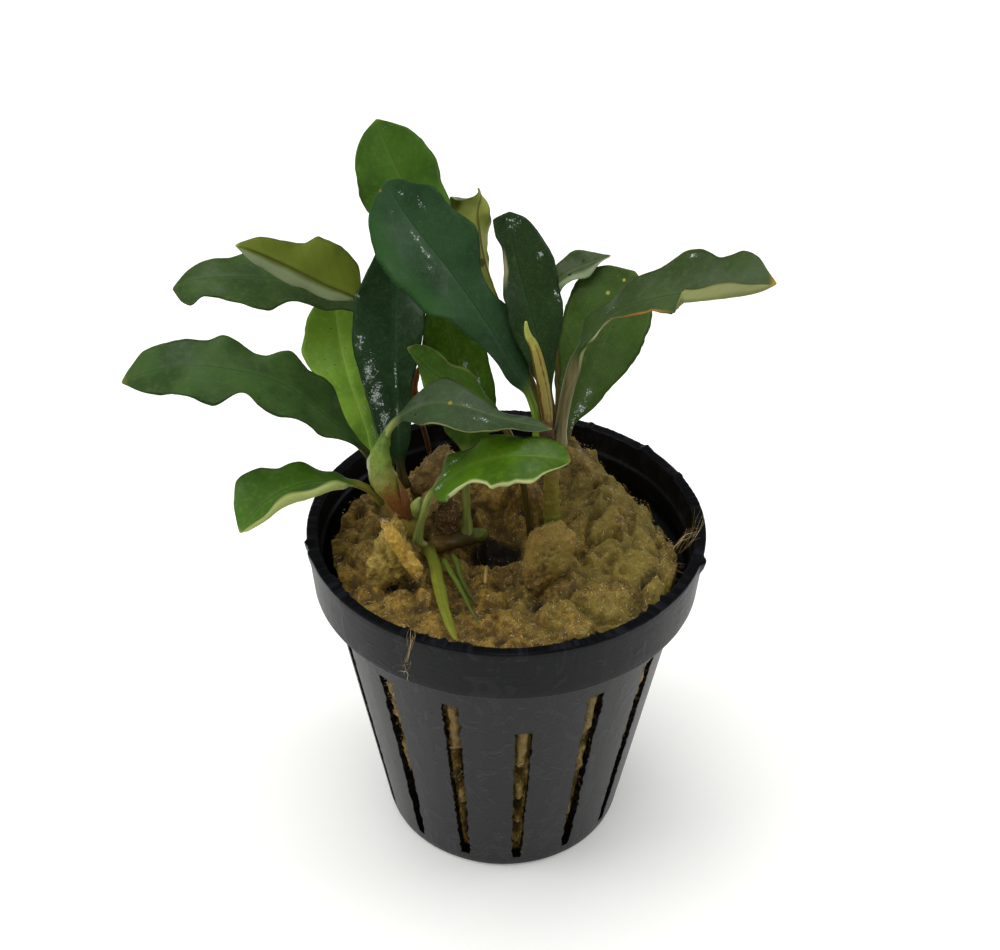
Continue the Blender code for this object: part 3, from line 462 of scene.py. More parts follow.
def ramp(tree, value, low, high, start=0.0, end=1.0):
    """A value from low to high, mapped straight to start and end."""
    return put(tree, "ShaderNodeMapRange", {}, {0: value, 1: low, 2: high, 3: start, 4: end})


def attribute(tree, name):
    """A vector that the mesh carries at its points."""
    return put(tree, "ShaderNodeAttribute", {"attribute_name": name}, {}, 1)


def parts_of(tree, vector):
    """The three numbers of a vector."""
    return put(tree, "ShaderNodeSeparateXYZ", {}, {0: vector}).node.outputs


def object_space(tree):
    """The place on the object, in metres."""
    return put(tree, "ShaderNodeTexCoord", {}, {}, 3)


def noise_of(tree, space, size, detail, roughness=0.5, distortion=0.0):
    """Noise with features of that size in mm."""
    return put(tree, "ShaderNodeTexNoise", {}, {
        "Vector": space, "Scale": per_mm(size), "Detail": detail, "Roughness": roughness,
        "Distortion": distortion})


def streaks(tree, ruler, stretch, detail, roughness=0.5, distortion=0.0):
    """Noise drawn out along a surface's own measures: stretch is how often it repeats along each."""
    return put(tree, "ShaderNodeTexNoise", {}, {
        "Vector": vector_of(tree, "MULTIPLY", ruler, stretch), "Scale": 1.0, "Detail": detail,
        "Roughness": roughness, "Distortion": distortion})


def bump_of(tree, height, strength, depth):
    """A bump from a height, up to that depth in mm."""
    return put(tree, "ShaderNodeBump", {}, {"Strength": strength, "Distance": depth * MM, "Height": height})


def feed(shader, **links):
    """Link each named socket of the shader, with _ for a space."""
    for key, link in links.items():
        shader.id_data.links.new(link, shader.inputs[key.replace("_", " ")])


def per_mm(size):
    """Texture scale for a pattern of that size in mm, in Object coordinates, which are metres."""
    return 1.0 / (size * MM)


def new_material(name, **values):
    """A Principled material of its own; the values are its uniform sockets, with _ for a space."""
    material = bpy.data.materials.new(name)
    material.use_nodes = True
    shader = material.node_tree.nodes["Principled BSDF"]
    for key, value in values.items():
        shader.inputs[key.replace("_", " ")].default_value = value
    return material, material.node_tree, shader


def smooth_step(values, low, high):
    """0 below low, 1 above high and eased between them."""
    share = np.clip((np.asarray(values, float) - low) / (high - low), 0.0, 1.0)
    return share * share * (3.0 - 2.0 * share)


def rough(places, size, seed=0.0):
    """Smooth noise from -1 to 1 at places in mm, with features of that size in mm."""
    scaled = np.asarray(places, float) / size + np.array([seed * 13.7, seed * 5.1, seed * 9.3])
    return np.array([noise.noise(place) for place in scaled.tolist()])


def monotone(at, knots, values):
    """Smooth values at places, through the knots and never beyond them."""
    knots, values = np.asarray(knots, float), np.asarray(values, float)
    steps = np.diff(knots)
    rises = np.diff(values) / steps
    slopes = np.zeros(len(knots))
    same_way = rises[:-1] * rises[1:] > 0
    slopes[1:-1][same_way] = 2.0 / (1.0 / rises[:-1][same_way] + 1.0 / rises[1:][same_way])
    slopes[0], slopes[-1] = rises[0], rises[-1]
    spot = np.clip(np.searchsorted(knots, at, side="right") - 1, 0, len(steps) - 1)
    s = (np.clip(at, knots[0], knots[-1]) - knots[spot]) / steps[spot]
    start = (2 * s**3 - 3 * s**2 + 1) * values[spot] + (s**3 - 2 * s**2 + s) * steps[spot] * slopes[spot]
    end = (3 * s**2 - 2 * s**3) * values[spot + 1] + (s**3 - s**2) * steps[spot] * slopes[spot + 1]
    return start + end


def smooth_path(points, count):
    """Evenly spaced points on a smooth curve through the given ones, and the curve's length."""
    given = np.asarray(points, float)
    knots = np.concatenate([[0.0], np.cumsum(np.sqrt(np.linalg.norm(np.diff(given, axis=0), axis=1)))])
    slopes = np.gradient(given, knots, axis=0, edge_order=2 if len(given) > 2 else 1)
    pieces = []
    for i, span in enumerate(np.diff(knots)):
        s = np.linspace(0.0, 1.0, 30, endpoint=False)[:, None]
        start = (2 * s**3 - 3 * s**2 + 1) * given[i] + (s**3 - 2 * s**2 + s) * span * slopes[i]
        end = (3 * s**2 - 2 * s**3) * given[i + 1] + (s**3 - s**2) * span * slopes[i + 1]
        pieces.append(start + end)
    fine = np.concatenate(pieces + [given[-1:]])
    lengths = np.concatenate([[0.0], np.cumsum(np.linalg.norm(np.diff(fine, axis=0), axis=1))])
    even = np.linspace(0.0, lengths[-1], count)
    return read_along(even, lengths, fine)[0], lengths[-1]


def read_along(at, grid, *lines):
    """Each line's point at places along it, where grid holds the places of its own points."""
    return [np.stack([np.interp(at, grid, line[:, k]) for k in range(3)], -1) for line in lines]


def blade_frames(leaf):
    """Midrib points in mm with the across and upper directions, each point's distance, and the length."""
    path, total = smooth_path(leaf.midrib, 241)
    ahead = np.gradient(path, axis=0)
    ahead /= np.linalg.norm(ahead, axis=1)[:, None]
    along = np.linspace(0.0, total, len(path))
    across = np.stack([ahead[:, 1], -ahead[:, 0], np.zeros(len(path))], axis=-1)
    blade_start = int(np.argmax(along >= leaf.stalk))
    level = across[blade_start]
    across[:blade_start] = level - ahead[:blade_start] * (ahead[:blade_start] @ level)[:, None]
    across /= np.linalg.norm(across, axis=1)[:, None]
    upper = np.cross(across, ahead)
    share = np.clip((along - leaf.stalk) / (total - leaf.stalk), 0.0, 1.0)
    roll = np.radians(np.interp(share, (0, 1), leaf.roll))[:, None]
    turned = across * np.cos(roll) + upper * np.sin(roll)
    return path, turned, upper * np.cos(roll) - across * np.sin(roll), along, total


def outline(points, share, stalk_radius):
    """Half width in mm at shares of the blade, smoothly through the outline's points."""
    shares = [0.0] + [point[0] for point in points] + [1.0]
    widths = [stalk_radius] + [point[1] for point in points] + [LEAF_TIP_HALF_WIDTH]
    return monotone(share, shares, widths)


def shaped_grid(name, columns, rows, form):
    """A grid primitive shaped to a closed form. form gives points in metres, and attributes, at its cells."""
    bpy.ops.object.select_all(action="DESELECT")
    bpy.ops.mesh.primitive_grid_add(x_subdivisions=columns, y_subdivisions=rows, size=1.0, location=(0, 0, 0))
    piece = bpy.context.active_object
    piece.name = piece.data.name = name
    mesh = piece.data
    flat = np.empty(len(mesh.vertices) * 3, np.float32)
    mesh.vertices.foreach_get("co", flat)
    cells = np.rint((flat.reshape(-1, 3)[:, :2] + 0.5) * (columns, rows)).astype(int)
    points, attributes = form(cells[:, 0] / columns, cells[:, 1])
    mesh.vertices.foreach_set("co", np.asarray(points, np.float32).ravel())
    for key, values in attributes.items():
        layer = mesh.attributes.new(key, "FLOAT_VECTOR", "POINT")
        layer.data.foreach_set("vector", np.asarray(values, np.float32).ravel())
    bpy.ops.object.mode_set(mode="EDIT")
    bpy.ops.mesh.select_all(action="SELECT")
    bpy.ops.mesh.remove_doubles(threshold=0.000001)
    bpy.ops.mesh.normals_make_consistent(inside=False)
    bpy.ops.object.mode_set(mode="OBJECT")
    bpy.ops.object.shade_smooth()
    return piece


def settle(piece, slot, material, *nodes):
    """Give a finished piece its material and its body, and hide the nodes that it stands for. slot is not
    used.
    """
    piece.data.materials.clear()
    piece.data.materials.append(material)
    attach(piece, "root")
    if nodes:
        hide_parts(*nodes)
    return piece


def strands(name, paths, radii, tone):
    """Many thin closed strands as one mesh. paths is (strand, point, 3) in mm; radii is (strand, point)."""
    count, steps = paths.shape[:2]
    sides = STRAND_SIDES
    ahead = np.gradient(paths, axis=1)
    ahead /= np.linalg.norm(ahead, axis=2)[..., None] + 1e-9
    side = np.cross(ahead, np.array([0.31, 0.17, 0.93]))
    side /= np.linalg.norm(side, axis=2)[..., None] + 1e-9
    up = np.cross(side, ahead)
    turns = np.arange(sides) * math.tau / sides
    rings = paths[:, :, None, :] + radii[:, :, None, None] * (
        side[:, :, None, :] * np.cos(turns)[None, None, :, None]
        + up[:, :, None, :] * np.sin(turns)[None, None, :, None])
    inner = rings[:, 1:-1].reshape(count, -1, 3)
    points = np.concatenate([paths[:, :1], inner, paths[:, -1:]], axis=1)
    strand_points = points.shape[1]
    strand_faces = []
    for k in range(sides):
        after = (k + 1) % sides
        strand_faces.append((0, 1 + after, 1 + k, 1 + k))
        for ring in range(steps - 3):
            low = 1 + ring * sides
            strand_faces.append((low + k, low + after, low + sides + after, low + sides + k))
        low = 1 + (steps - 3) * sides
        strand_faces.append((low + k, low + after, strand_points - 1, strand_points - 1))
    strand_faces = np.array(strand_faces)
    faces = (strand_faces[None] + np.arange(count)[:, None, None] * strand_points).reshape(-1, 4)
    lists = [list(face[:3]) if face[2] == face[3] else list(face) for face in faces.tolist()]
    mesh = bpy.data.meshes.new(name)
    mesh.from_pydata((points.reshape(-1, 3) * MM).tolist(), [], lists)
    layer = mesh.attributes.new("strand", "FLOAT_VECTOR", "POINT")
    values = np.zeros((count, strand_points, 3), np.float32)
    values[..., 0] = np.asarray(tone)[:, None]
    layer.data.foreach_set("vector", values.ravel())
    mesh.shade_smooth()
    piece = bpy.data.objects.new(name, mesh)
    bpy.context.scene.collection.objects.link(piece)
    return piece


def curled(leaf, blade, side, reach, width):
    """Reach, bend and tilt of places across a blade, in mm and radians, with the leaf's curls in them."""
    flat, bend, tilt = reach, np.zeros_like(reach), np.zeros_like(reach)
    for curl_side, start, end, depth, degrees, fold in leaf.curls:
        soft = 0.12 if fold > 1.0 else 0.035
        ease_in = smooth_step(blade, start, start + soft)
        if end < 1.0:
            ease_in = ease_in * (1.0 - smooth_step(blade, end - 0.06, end + 0.001))
        deep = np.maximum(depth * ease_in, 1e-4)
        angle = math.radians(abs(degrees))
        away = np.maximum(reach - (1.0 - deep) * width, 0.0)
        bow = np.clip(deep * width / angle, 1e-5, fold)
        past = np.maximum(away - bow * angle, 0.0)
        phi = np.where(side == curl_side, np.minimum(away / bow, angle), 0.0)
        way = math.copysign(1.0, degrees)
        flat = np.where(phi > 0, (1.0 - deep) * width + bow * np.sin(phi) + past * math.cos(angle), flat)
        bend = np.where(phi > 0, way * (bow * (1.0 - np.cos(phi)) + past * math.sin(angle)), bend)
        tilt = np.where(phi > 0, way * phi, tilt)
    return flat, bend, tilt


def leaf_section(leaf, share, turn, seed, frill):
    """Offsets across and up in mm, the level across the blade, 1 for the underside, and the reach in mm."""
    quarter = 4.0 * turn
    signed = np.where(quarter <= 1, quarter, np.where(quarter <= 3, 2 - quarter, quarter - 4))
    side = np.where(signed < 0, -1.0, 1.0)
    level = np.abs(signed) ** 1.35
    under = (quarter < 0.999) | (quarter > 3.001)
    blade = np.clip(share, 0.0, 1.0)
    width = np.where(side > 0, outline(leaf.right, blade, leaf.stalk_radius),
                     outline(leaf.left, blade, leaf.stalk_radius))
    along = blade * leaf_length(leaf)
    envelope = np.minimum(1.0, 6.0 * blade * (1.0 - blade))
    nibble = rough(np.stack([along, side * 7.0, 0 * along], -1), 0.9, seed)
    width = width * (1.0 + 0.025 * nibble * envelope)
    reach = level * width
    half = LEAF_HALF_THICKNESS * (1.0 - 0.45 * blade) * (0.3 + 0.7 * (1.0 - level) ** 1.3)
    half *= np.sqrt(np.clip(1.0 - level**10, 0.0, 1.0))
    lift = 0.5 * leaf.wave * side * envelope * np.sin(math.tau * leaf.waves * blade) * level**2
    lift += 0.5 * leaf.wave * side * envelope * np.sin(math.tau * leaf.waves * blade + 0.5 * level) * level**3
    lift += frill * envelope * level**3 * rough(np.stack([along, side * 9.0, 0 * along], -1), 2.1, seed + 3)
    lift += 0.30 * level * envelope * rough(np.stack([along, side * reach, 0 * along], -1), 5.5, seed + 5)
    veins = np.cos(math.tau * (along - VEIN_SLANT * reach) / VEIN_SPACING + side)
    lift += 0.014 * veins * envelope * smooth_step(level, 0.06, 0.25) * (1.0 - smooth_step(level, 0.8, 1.0))
    rib = np.exp(-(reach / 0.42) ** 2) * (1.0 - 0.6 * blade) * np.minimum(1.0, 8.0 * (1.0 - blade))
    groove = -0.10 * np.exp(-(reach / 0.30) ** 2) * envelope
    over = np.where(under, -half - 0.24 * rib, half + groove)
    flat, bend, tilt = curled(leaf, blade, side, reach, width)
    flat = flat - over * np.sin(tilt)
    bend = bend + over * np.cos(tilt)
    cup = math.radians(leaf.cup)
    trough = np.where(level > 0, np.sqrt(level**2 + 0.012) - 0.11, 0.0) / np.maximum(level, 0.05)
    blade_x = side * (flat * math.cos(cup) - (bend + lift) * math.sin(cup) * 0.5)
    blade_y = flat * math.sin(cup) * np.clip(trough, 0.0, 1.0) + (bend + lift) * math.cos(cup)
    radius = leaf.stalk_radius * (1.0 - 0.25 * np.clip(-share, 0.0, 1.0))
    angle = math.tau * turn
    stalk_x, stalk_y = radius * leaf.stalk_flat * np.sin(angle), -radius * np.cos(angle)
    opened = smooth_step(blade, 0.0, STALK_BLEND)
    x = stalk_x + (blade_x - stalk_x) * opened
    y = stalk_y + (blade_y - stalk_y) * opened
    return x, y, side * level, under.astype(float), reach * side


# Blade lengths that are worked out already, by midrib
LENGTHS = {}


def leaf_length(leaf):
    """Length of the blade in mm."""
    if leaf.midrib not in LENGTHS:
        LENGTHS[leaf.midrib] = smooth_path(leaf.midrib, 3)[1] - leaf.stalk
    return LENGTHS[leaf.midrib]


def nearest_on(points, place):
    """The point of a smooth path that is nearest to a place."""
    path, _ = smooth_path(points, 60)
    return path[np.argmin(np.linalg.norm(path - np.asarray(place), axis=1))]


def build_leaf(name, leaf, seed, frill):
    """A leaf's closed skin from its stalk's foot, inside what it grows from, to its tip."""
    path, across, upper, along, total = blade_frames(leaf)
    blade = total - leaf.stalk
    rows, foot_rows = LEAF_ROWS, 4
    stalk_rows = int(np.clip(leaf.stalk / 0.7, 3, rows // 3))
    blade_rows = rows - foot_rows - stalk_rows
    t = np.linspace(0.0, 1.0, blade_rows + 1)
    spaced = 0.55 * t + 0.45 * (0.5 - 0.5 * np.cos(math.pi * t))
    stations = np.concatenate([
        np.linspace(-LEAF_FOOT_DEPTH, 0.0, foot_rows, endpoint=False),
        np.linspace(0.0, leaf.stalk, stalk_rows, endpoint=False),
        leaf.stalk + blade * spaced])
    if leaf.stem:
        anchor = nearest_on(TUBES[leaf.stem].points, path[0])
    else:
        anchor = path[0] - (path[3] - path[0]) / np.linalg.norm(path[3] - path[0]) * 1.6

    def form(turn, row):
        """Points and attributes of the leaf's grid."""
        at = stations[row]
        inside = np.clip(at, 0.0, total)
        centre, side, up = read_along(inside, along, path, across, upper)
        sink = np.clip(-at / LEAF_FOOT_DEPTH, 0.0, 1.0)[:, None]
        centre = centre + (anchor - path[0]) * sink
        share = (at - leaf.stalk) / blade
        x, y, level, under, reach = leaf_section(leaf, share, turn, seed, frill)
        flare = 1.0 + (0.55 * np.exp(-(np.maximum(at, 0.0) / 1.5) ** 2) if leaf.stem else 0.0)
        closed = np.where((row == 0) | (row == rows), 0.0, 1.0) * flare
        points = centre + side * (x * closed)[:, None] + up * (y * closed)[:, None]
        marks = np.stack([share, level, under], -1)
        ruler = np.stack([at - leaf.stalk, reach, under], -1)
        return points * MM, {"leaf_place": marks, "leaf_mm": ruler}

    return shaped_grid(name, LEAF_RING, rows, form)


def rounded(corners, steps=5):
    """Points of a polyline whose corners, given as (x, y, radius), are eased over that radius."""
    points = []
    for k, (x, y, radius) in enumerate(corners):
        if radius == 0.0:
            points.append((x, y))
            continue
        here = np.array((x, y))
        before, after = np.array(corners[k - 1][:2]), np.array(corners[k + 1][:2])
        start = here + (before - here) / np.linalg.norm(before - here) * radius
        end = here + (after - here) / np.linalg.norm(after - here) * radius
        for t in np.linspace(0.0, 1.0, steps):
            points.append(tuple((1 - t) ** 2 * start + 2 * t * (1 - t) * here + t * t * end))
    return points


def stepped(points, longest):
    """The same polyline with no step longer than that."""
    out = [points[0]]
    for a, b in zip(points, points[1:]):
        count = max(1, math.ceil(math.dist(a, b) / longest))
        out += [(a[0] + (b[0] - a[0]) * k / count, a[1] + (b[1] - a[1]) * k / count)
                for k in range(1, count + 1)]
    return np.array(out)


def slot_angle(index):
    """Direction of a slot from the axis, in radians."""
    return math.radians(FIRST_SLOT_DEGREES + 270.0 + index * 360.0 / SLOT_COUNT)


def slot_width(share):
    """Width of a slot in mm at a share of its height."""
    return SLOT_FOOT_WIDTH + (SLOT_TOP_WIDTH - SLOT_FOOT_WIDTH) * np.asarray(share) ** 0.6


def build_pot_skin():
    """The pot's wall, collar, rim and floor as one turned skin, with a ragged rim and moulding rings."""
    inner_collar = COLLAR_FOOT_RADIUS - POT_WALL - 0.4
    corners = [
        (0.0, 0.0, 0.0), (FOOT_RADIUS - 0.2, 0.0, 0.7), (FOOT_RADIUS + 0.1, 1.0, 0.6),
        (NECK_RADIUS, SHOULDER - 0.3, 0.35), (COLLAR_FOOT_RADIUS, SHOULDER, 0.32),
        (RIM_RADIUS, POT_HEIGHT, 0.35), (RIM_RADIUS - RIM_BAND, POT_HEIGHT, 0.3),
        (inner_collar + 0.35, SHOULDER + 4.6, 0.2), (inner_collar + 0.1, SHOULDER + 4.2, 0.2),
        (inner_collar, SHOULDER + 0.4, 0.3), (NECK_RADIUS - POT_WALL, SHOULDER - 1.2, 0.4),
        (FOOT_RADIUS - POT_WALL, FLOOR_THICKNESS + 0.8, 0.5),
        (FOOT_RADIUS - POT_WALL - 0.8, FLOOR_THICKNESS, 0.3), (0.0, FLOOR_THICKNESS, 0.0),
    ]
    profile = stepped(rounded(corners), 1.0)
    rows = len(profile) - 1

    def form(turn, row):
        """Points and attributes of the pot's grid."""
        angle = math.tau * turn
        radius, height = profile[row, 0], profile[row, 1]
        ring = np.stack([np.cos(angle), np.sin(angle), 0 * angle], -1) * RIM_RADIUS
        rim = smooth_step(height, POT_HEIGHT - 1.2, POT_HEIGHT)
        inside = (row > rows * 0.5).astype(float)
        wobble = 0.05 * rough(ring, 9.0, 1) + 0.02 * rough(ring, 1.6, 2)
        radius = radius + np.where(radius > 1.0, wobble, 0.0)
        patches = 0.25 + smooth_step(rough(ring, 6.0, 4), 0, 0.4)
        ragged = np.abs(rough(ring, 0.8, 3)) * patches
        radius = radius - rim * inside * 0.75 * ragged
        height = height + rim * (0.10 * rough(ring, 5.0, 5) - 0.10 + 0.22 * ragged)
        degrees = np.degrees(angle)
        for middle, wide, outward, upward in RIM_FLASH:
            off = (np.mod(degrees - middle + 180.0, 360.0) - 180.0) / wide
            lump = np.exp(-off**2) * (0.75 + 0.6 * rough(ring, 0.6, 6))
            crown = smooth_step(height, POT_HEIGHT - 2.2, POT_HEIGHT - 0.8) * (1.0 - inside)
            radius = radius + outward * lump * crown
            height = height + upward * lump * rim
        grooves = np.where((inside > 0) & (height > SHOULDER + 1.0),
                           0.10 * np.cos(math.tau * height / MOULD_RING_SPACING), 0.0) * (1.0 - rim)
        radius = radius + grooves
        points = np.stack([radius * np.cos(angle), radius * np.sin(angle), height], -1)
        unrolled = np.stack([degrees, height, inside], -1)
        return points * MM, {"pot_place": unrolled}

    return shaped_grid("pot_fine", POT_RING, rows, form)


def build_slot_cutters():
    """A ragged wedge for each slot, joined as one mesh. Each runs from inner to outer, and its ends close
    to a point at end, all in mm from the axis."""
    rows = SLOT_ROWS
    outer, inner, end = NECK_RADIUS + 2.0, 13.0, 19.0
    made = []
    for index in range(SLOT_COUNT):
        top = FRONT_SLOT_TOP if index == FRONT_SLOT else SLOT_TOP
        way = slot_angle(index)
        outward = np.array((math.cos(way), math.sin(way), 0.0))
        sideways = np.array((-math.sin(way), math.cos(way), 0.0))

        def form(turn, row):
            """Points of one wedge."""
            height = SLOT_FOOT + (top - SLOT_FOOT) * np.clip((row - 1) / (rows - 2), 0.0, 1.0)
            share = (height - SLOT_FOOT) / (SLOT_TOP - SLOT_FOOT)
            corner = np.rint(turn * 4).astype(int) % 4
            right = np.where((corner == 0) | (corner == 3), 1.0, -1.0)
            far = np.where(corner < 2, 1.0, 0.0)
            width = slot_width(share)
            edge = np.stack([right * 20.0, height, 0 * height + index * 3.0], -1)
            width = width / 2 + 0.24 * rough(edge, 0.6, 6) + 0.22 * rough(edge, 2.0, 7)
            reach = np.where(far > 0, outer, inner)
            closed = np.where((row == 0) | (row == rows), 0.0, 1.0)
            middle = np.where(closed > 0, reach, end)
            place = outward * middle[:, None] + sideways * (right * width * closed)[:, None]
            place[:, 2] = height
            return place * MM, {}

        cutter = shaped_grid(f"slot_{index:02d}", 4, rows, form)
        cutter.data.shade_flat()
        made.append(cutter)
    bpy.ops.object.select_all(action="DESELECT")
    for cutter in made:
        cutter.select_set(True)
    bpy.context.view_layer.objects.active = made[0]
    bpy.ops.object.join()
    return bpy.context.active_object


def cut_slots(pot, cutters):
    """Take the wedges out of the pot's skin and remove them."""
    bpy.ops.object.select_all(action="DESELECT")
    pot.select_set(True)
    bpy.context.view_layer.objects.active = pot
    cut = pot.modifiers.new("slots", "BOOLEAN")
    cut.operation = "DIFFERENCE"
    cut.solver = "EXACT"
    cut.object = cutters
    bpy.ops.object.modifier_apply(modifier=cut.name)
    bpy.ops.object.shade_smooth_by_angle(angle=math.radians(35))
    bpy.data.objects.remove(cutters, do_unlink=True)


def wall_radius(height):
    """Inner radius of the pot's tapered wall at heights, in mm."""
    low = FLOOR_THICKNESS + 0.8
    share = np.clip((height - low) / (SHOULDER - low), 0.0, 1.0)
    return FOOT_RADIUS + (NECK_RADIUS - FOOT_RADIUS) * share - POT_WALL


def lump_field(x, y, size, seed):
    """Irregular lumps of that size in mm at places: 0 in the creases and 1 inside, and each lump's chance."""
    flat = np.stack([x, y, 0 * x], -1)
    warp = np.stack([rough(flat, size * 0.7, seed), rough(flat, size * 0.7, seed + 1)], -1)
    place = np.stack([x, y], -1) / size + 0.45 * warp
    cell = np.floor(place)
    first, second, level = np.full(len(place), 9.0), np.full(len(place), 9.0), np.zeros(len(place))
    for corner in np.ndindex(3, 3):
        near = cell + np.array(corner) - 1.0
        chance = np.mod(np.sin(near @ np.array([[12.99, 26.65], [78.23, 41.17]]) + seed) * 4375.85, 1.0)
        away = np.linalg.norm(near + 0.1 + 0.8 * chance - place, axis=-1)
        level = np.where(away < first, chance[:, 0], level)
        second = np.minimum(second, np.maximum(first, away))
        first = np.minimum(first, away)
    return smooth_step(second - first, 0.0, 0.5), level


def wool_relief(x, y):
    """Height of the wool's top at places in mm, and its painted shade in creases, pits and the hollow."""
    hollow = np.zeros(np.shape(x))
    height = np.full(np.shape(x), WOOL_LEVEL, float)
    for hill in HILLS:
        rise = hill.height * np.exp(-((x - hill.x) ** 2 + (y - hill.y) ** 2) / hill.radius**2)
        height += rise
        hollow += np.maximum(-rise - 1.5, 0.0) / 2.5
    flat = np.stack([x, y, 0 * x], -1)
    big, big_level = lump_field(x, y, 5.0, 1.0)
    small, small_level = lump_field(x, y, 2.4, 5.0)
    pits = smooth_step(rough(flat, 2.4, 5), 0.34, 0.62)
    height += 0.8 * rough(flat, 5.5) + big * (0.5 + 1.7 * big_level) - 1.0
    height += small * (0.10 + 0.45 * small_level) - 0.25 + 0.35 * rough(flat, 1.6, 6)
    height += 0.20 * rough(flat, 0.8, 3) + 0.10 * rough(flat, 0.4, 4) - 0.7 * pits
    # Painted shade, from 0 to 1: in the creases between lumps and in pits, deepest in the hollow
    dark = (1.0 - big) * 0.5 + (1.0 - small) * 0.25 + 0.4 * pits
    return height, np.clip(np.maximum(dark * 0.8, hollow), 0.0, 1.0)


def wool_top(x, y):
    """Height of the wool's top at places, all in mm."""
    return wool_relief(x, y)[0]


def wool_edge(angle):
    """Radius of the wool's top edge at angles in radians, in mm."""
    inset = np.interp(np.degrees(np.mod(angle + math.pi, math.tau) - math.pi), list(WOOL_INSET),
                      list(WOOL_INSET.values()))
    return RIM_RADIUS - RIM_BAND - 0.5 - inset


def build_wool():
    """The wool plug: its clumped top, and a side that swells into the slots or draws back from them."""
    top_rows, side_rows, foot_rows = WOOL_ROWS
    rows = top_rows + side_rows + foot_rows
    foot = FLOOR_THICKNESS + WOOL_CLEARANCE

    def form(turn, row):
        """Points and attributes of the wool's grid."""
        angle = math.tau * turn
        edge = wool_edge(angle)
        cos, sin = np.cos(angle), np.sin(angle)
        ring = np.stack([cos, sin, 0 * angle], -1) * WOOL_NOISE_RADIUS
        edge = edge + 0.35 * rough(ring, 3.0, 8) + 0.18 * rough(ring, 1.0, 9)
        out = np.clip(row / top_rows, 0.0, 1.0)
        lip = wool_top(edge * cos, edge * sin)
        top, dark = wool_relief(edge * out * cos, edge * out * sin)
        down = np.clip((row - top_rows) / side_rows, 0.0, 1.0)
        height = np.where(row <= top_rows, top, lip + (foot - lip) * down)
        height = height - 0.8 * smooth_step(out, 0.86, 1.0) * (row <= top_rows)
        height = np.where(row > top_rows, height - 0.8 * (1.0 - down), height)
        wall = wall_radius(height) - WOOL_CLEARANCE
        ease = smooth_step(height, *WOOL_NECK)
        radius = np.where(row <= top_rows, edge * out, wall + (edge - wall) * ease)
        side = np.stack([WOOL_NOISE_RADIUS * cos, WOOL_NOISE_RADIUS * sin, height], -1)
        slot_step = math.tau / SLOT_COUNT
        offset = np.mod(angle - slot_angle(0) + slot_step / 2, slot_step) - slot_step / 2
        number = np.mod(np.rint((angle - slot_angle(0) - offset) / slot_step), SLOT_COUNT)
        share = np.clip((height - SLOT_FOOT) / (SLOT_TOP - SLOT_FOOT), 0.0, 1.0)
        half_slot = slot_width(share) / 2
        in_slot = 1.0 - smooth_step(np.abs(offset) * radius, half_slot - 0.75, half_slot + 0.05)
        in_slot *= smooth_step(height, SLOT_FOOT, SLOT_FOOT + 2)
        in_slot *= 1.0 - smooth_step(height, SLOT_TOP - 1.0, SLOT_TOP)
        fill = rough(np.stack([number * 9.0, height / 5.0, 0 * height], -1), 1.0, 11)
        fullness = smooth_step(share + 0.7 * fill, 0.30, 0.55)
        swell = in_slot * (fullness * (1.15 + 0.5 * rough(side, 1.6, 12)) - (1.0 - fullness) * 2.4)
        below_lip = 1.0 - smooth_step(height, *WOOL_LIP)
        texture = 0.22 * rough(side, 1.2, 13) - 0.12
        radius = np.where(row > top_rows, radius + swell + texture * below_lip
                          + (1.0 - below_lip) * 0.3 * rough(side, 1.4, 14), radius)
        under = np.clip((row - top_rows - side_rows) / foot_rows, 0.0, 1.0)
        radius = radius * (1.0 - under)
        limit = wall_radius(height) + POT_WALL - 0.1
        limit = limit + 0.6 * rough(side, 1.0, 15) + 0.35 * rough(side, 0.4, 16)
        radius = np.minimum(radius, np.where(height < SHOULDER, limit, np.inf))
        points = np.stack([radius * cos, radius * sin, height], -1)
        # Painted shade: from creases, pits and the hollow on top, and where the wool draws back in a slot
        painted_shade = np.where(row <= top_rows, dark, in_slot * (1.0 - fullness))
        marks = np.stack([painted_shade, in_slot * (row > top_rows), down], -1)
        return points * MM, {"wool_place": marks}

    return shaped_grid("rock_wool_fine", WOOL_RING, rows, form)


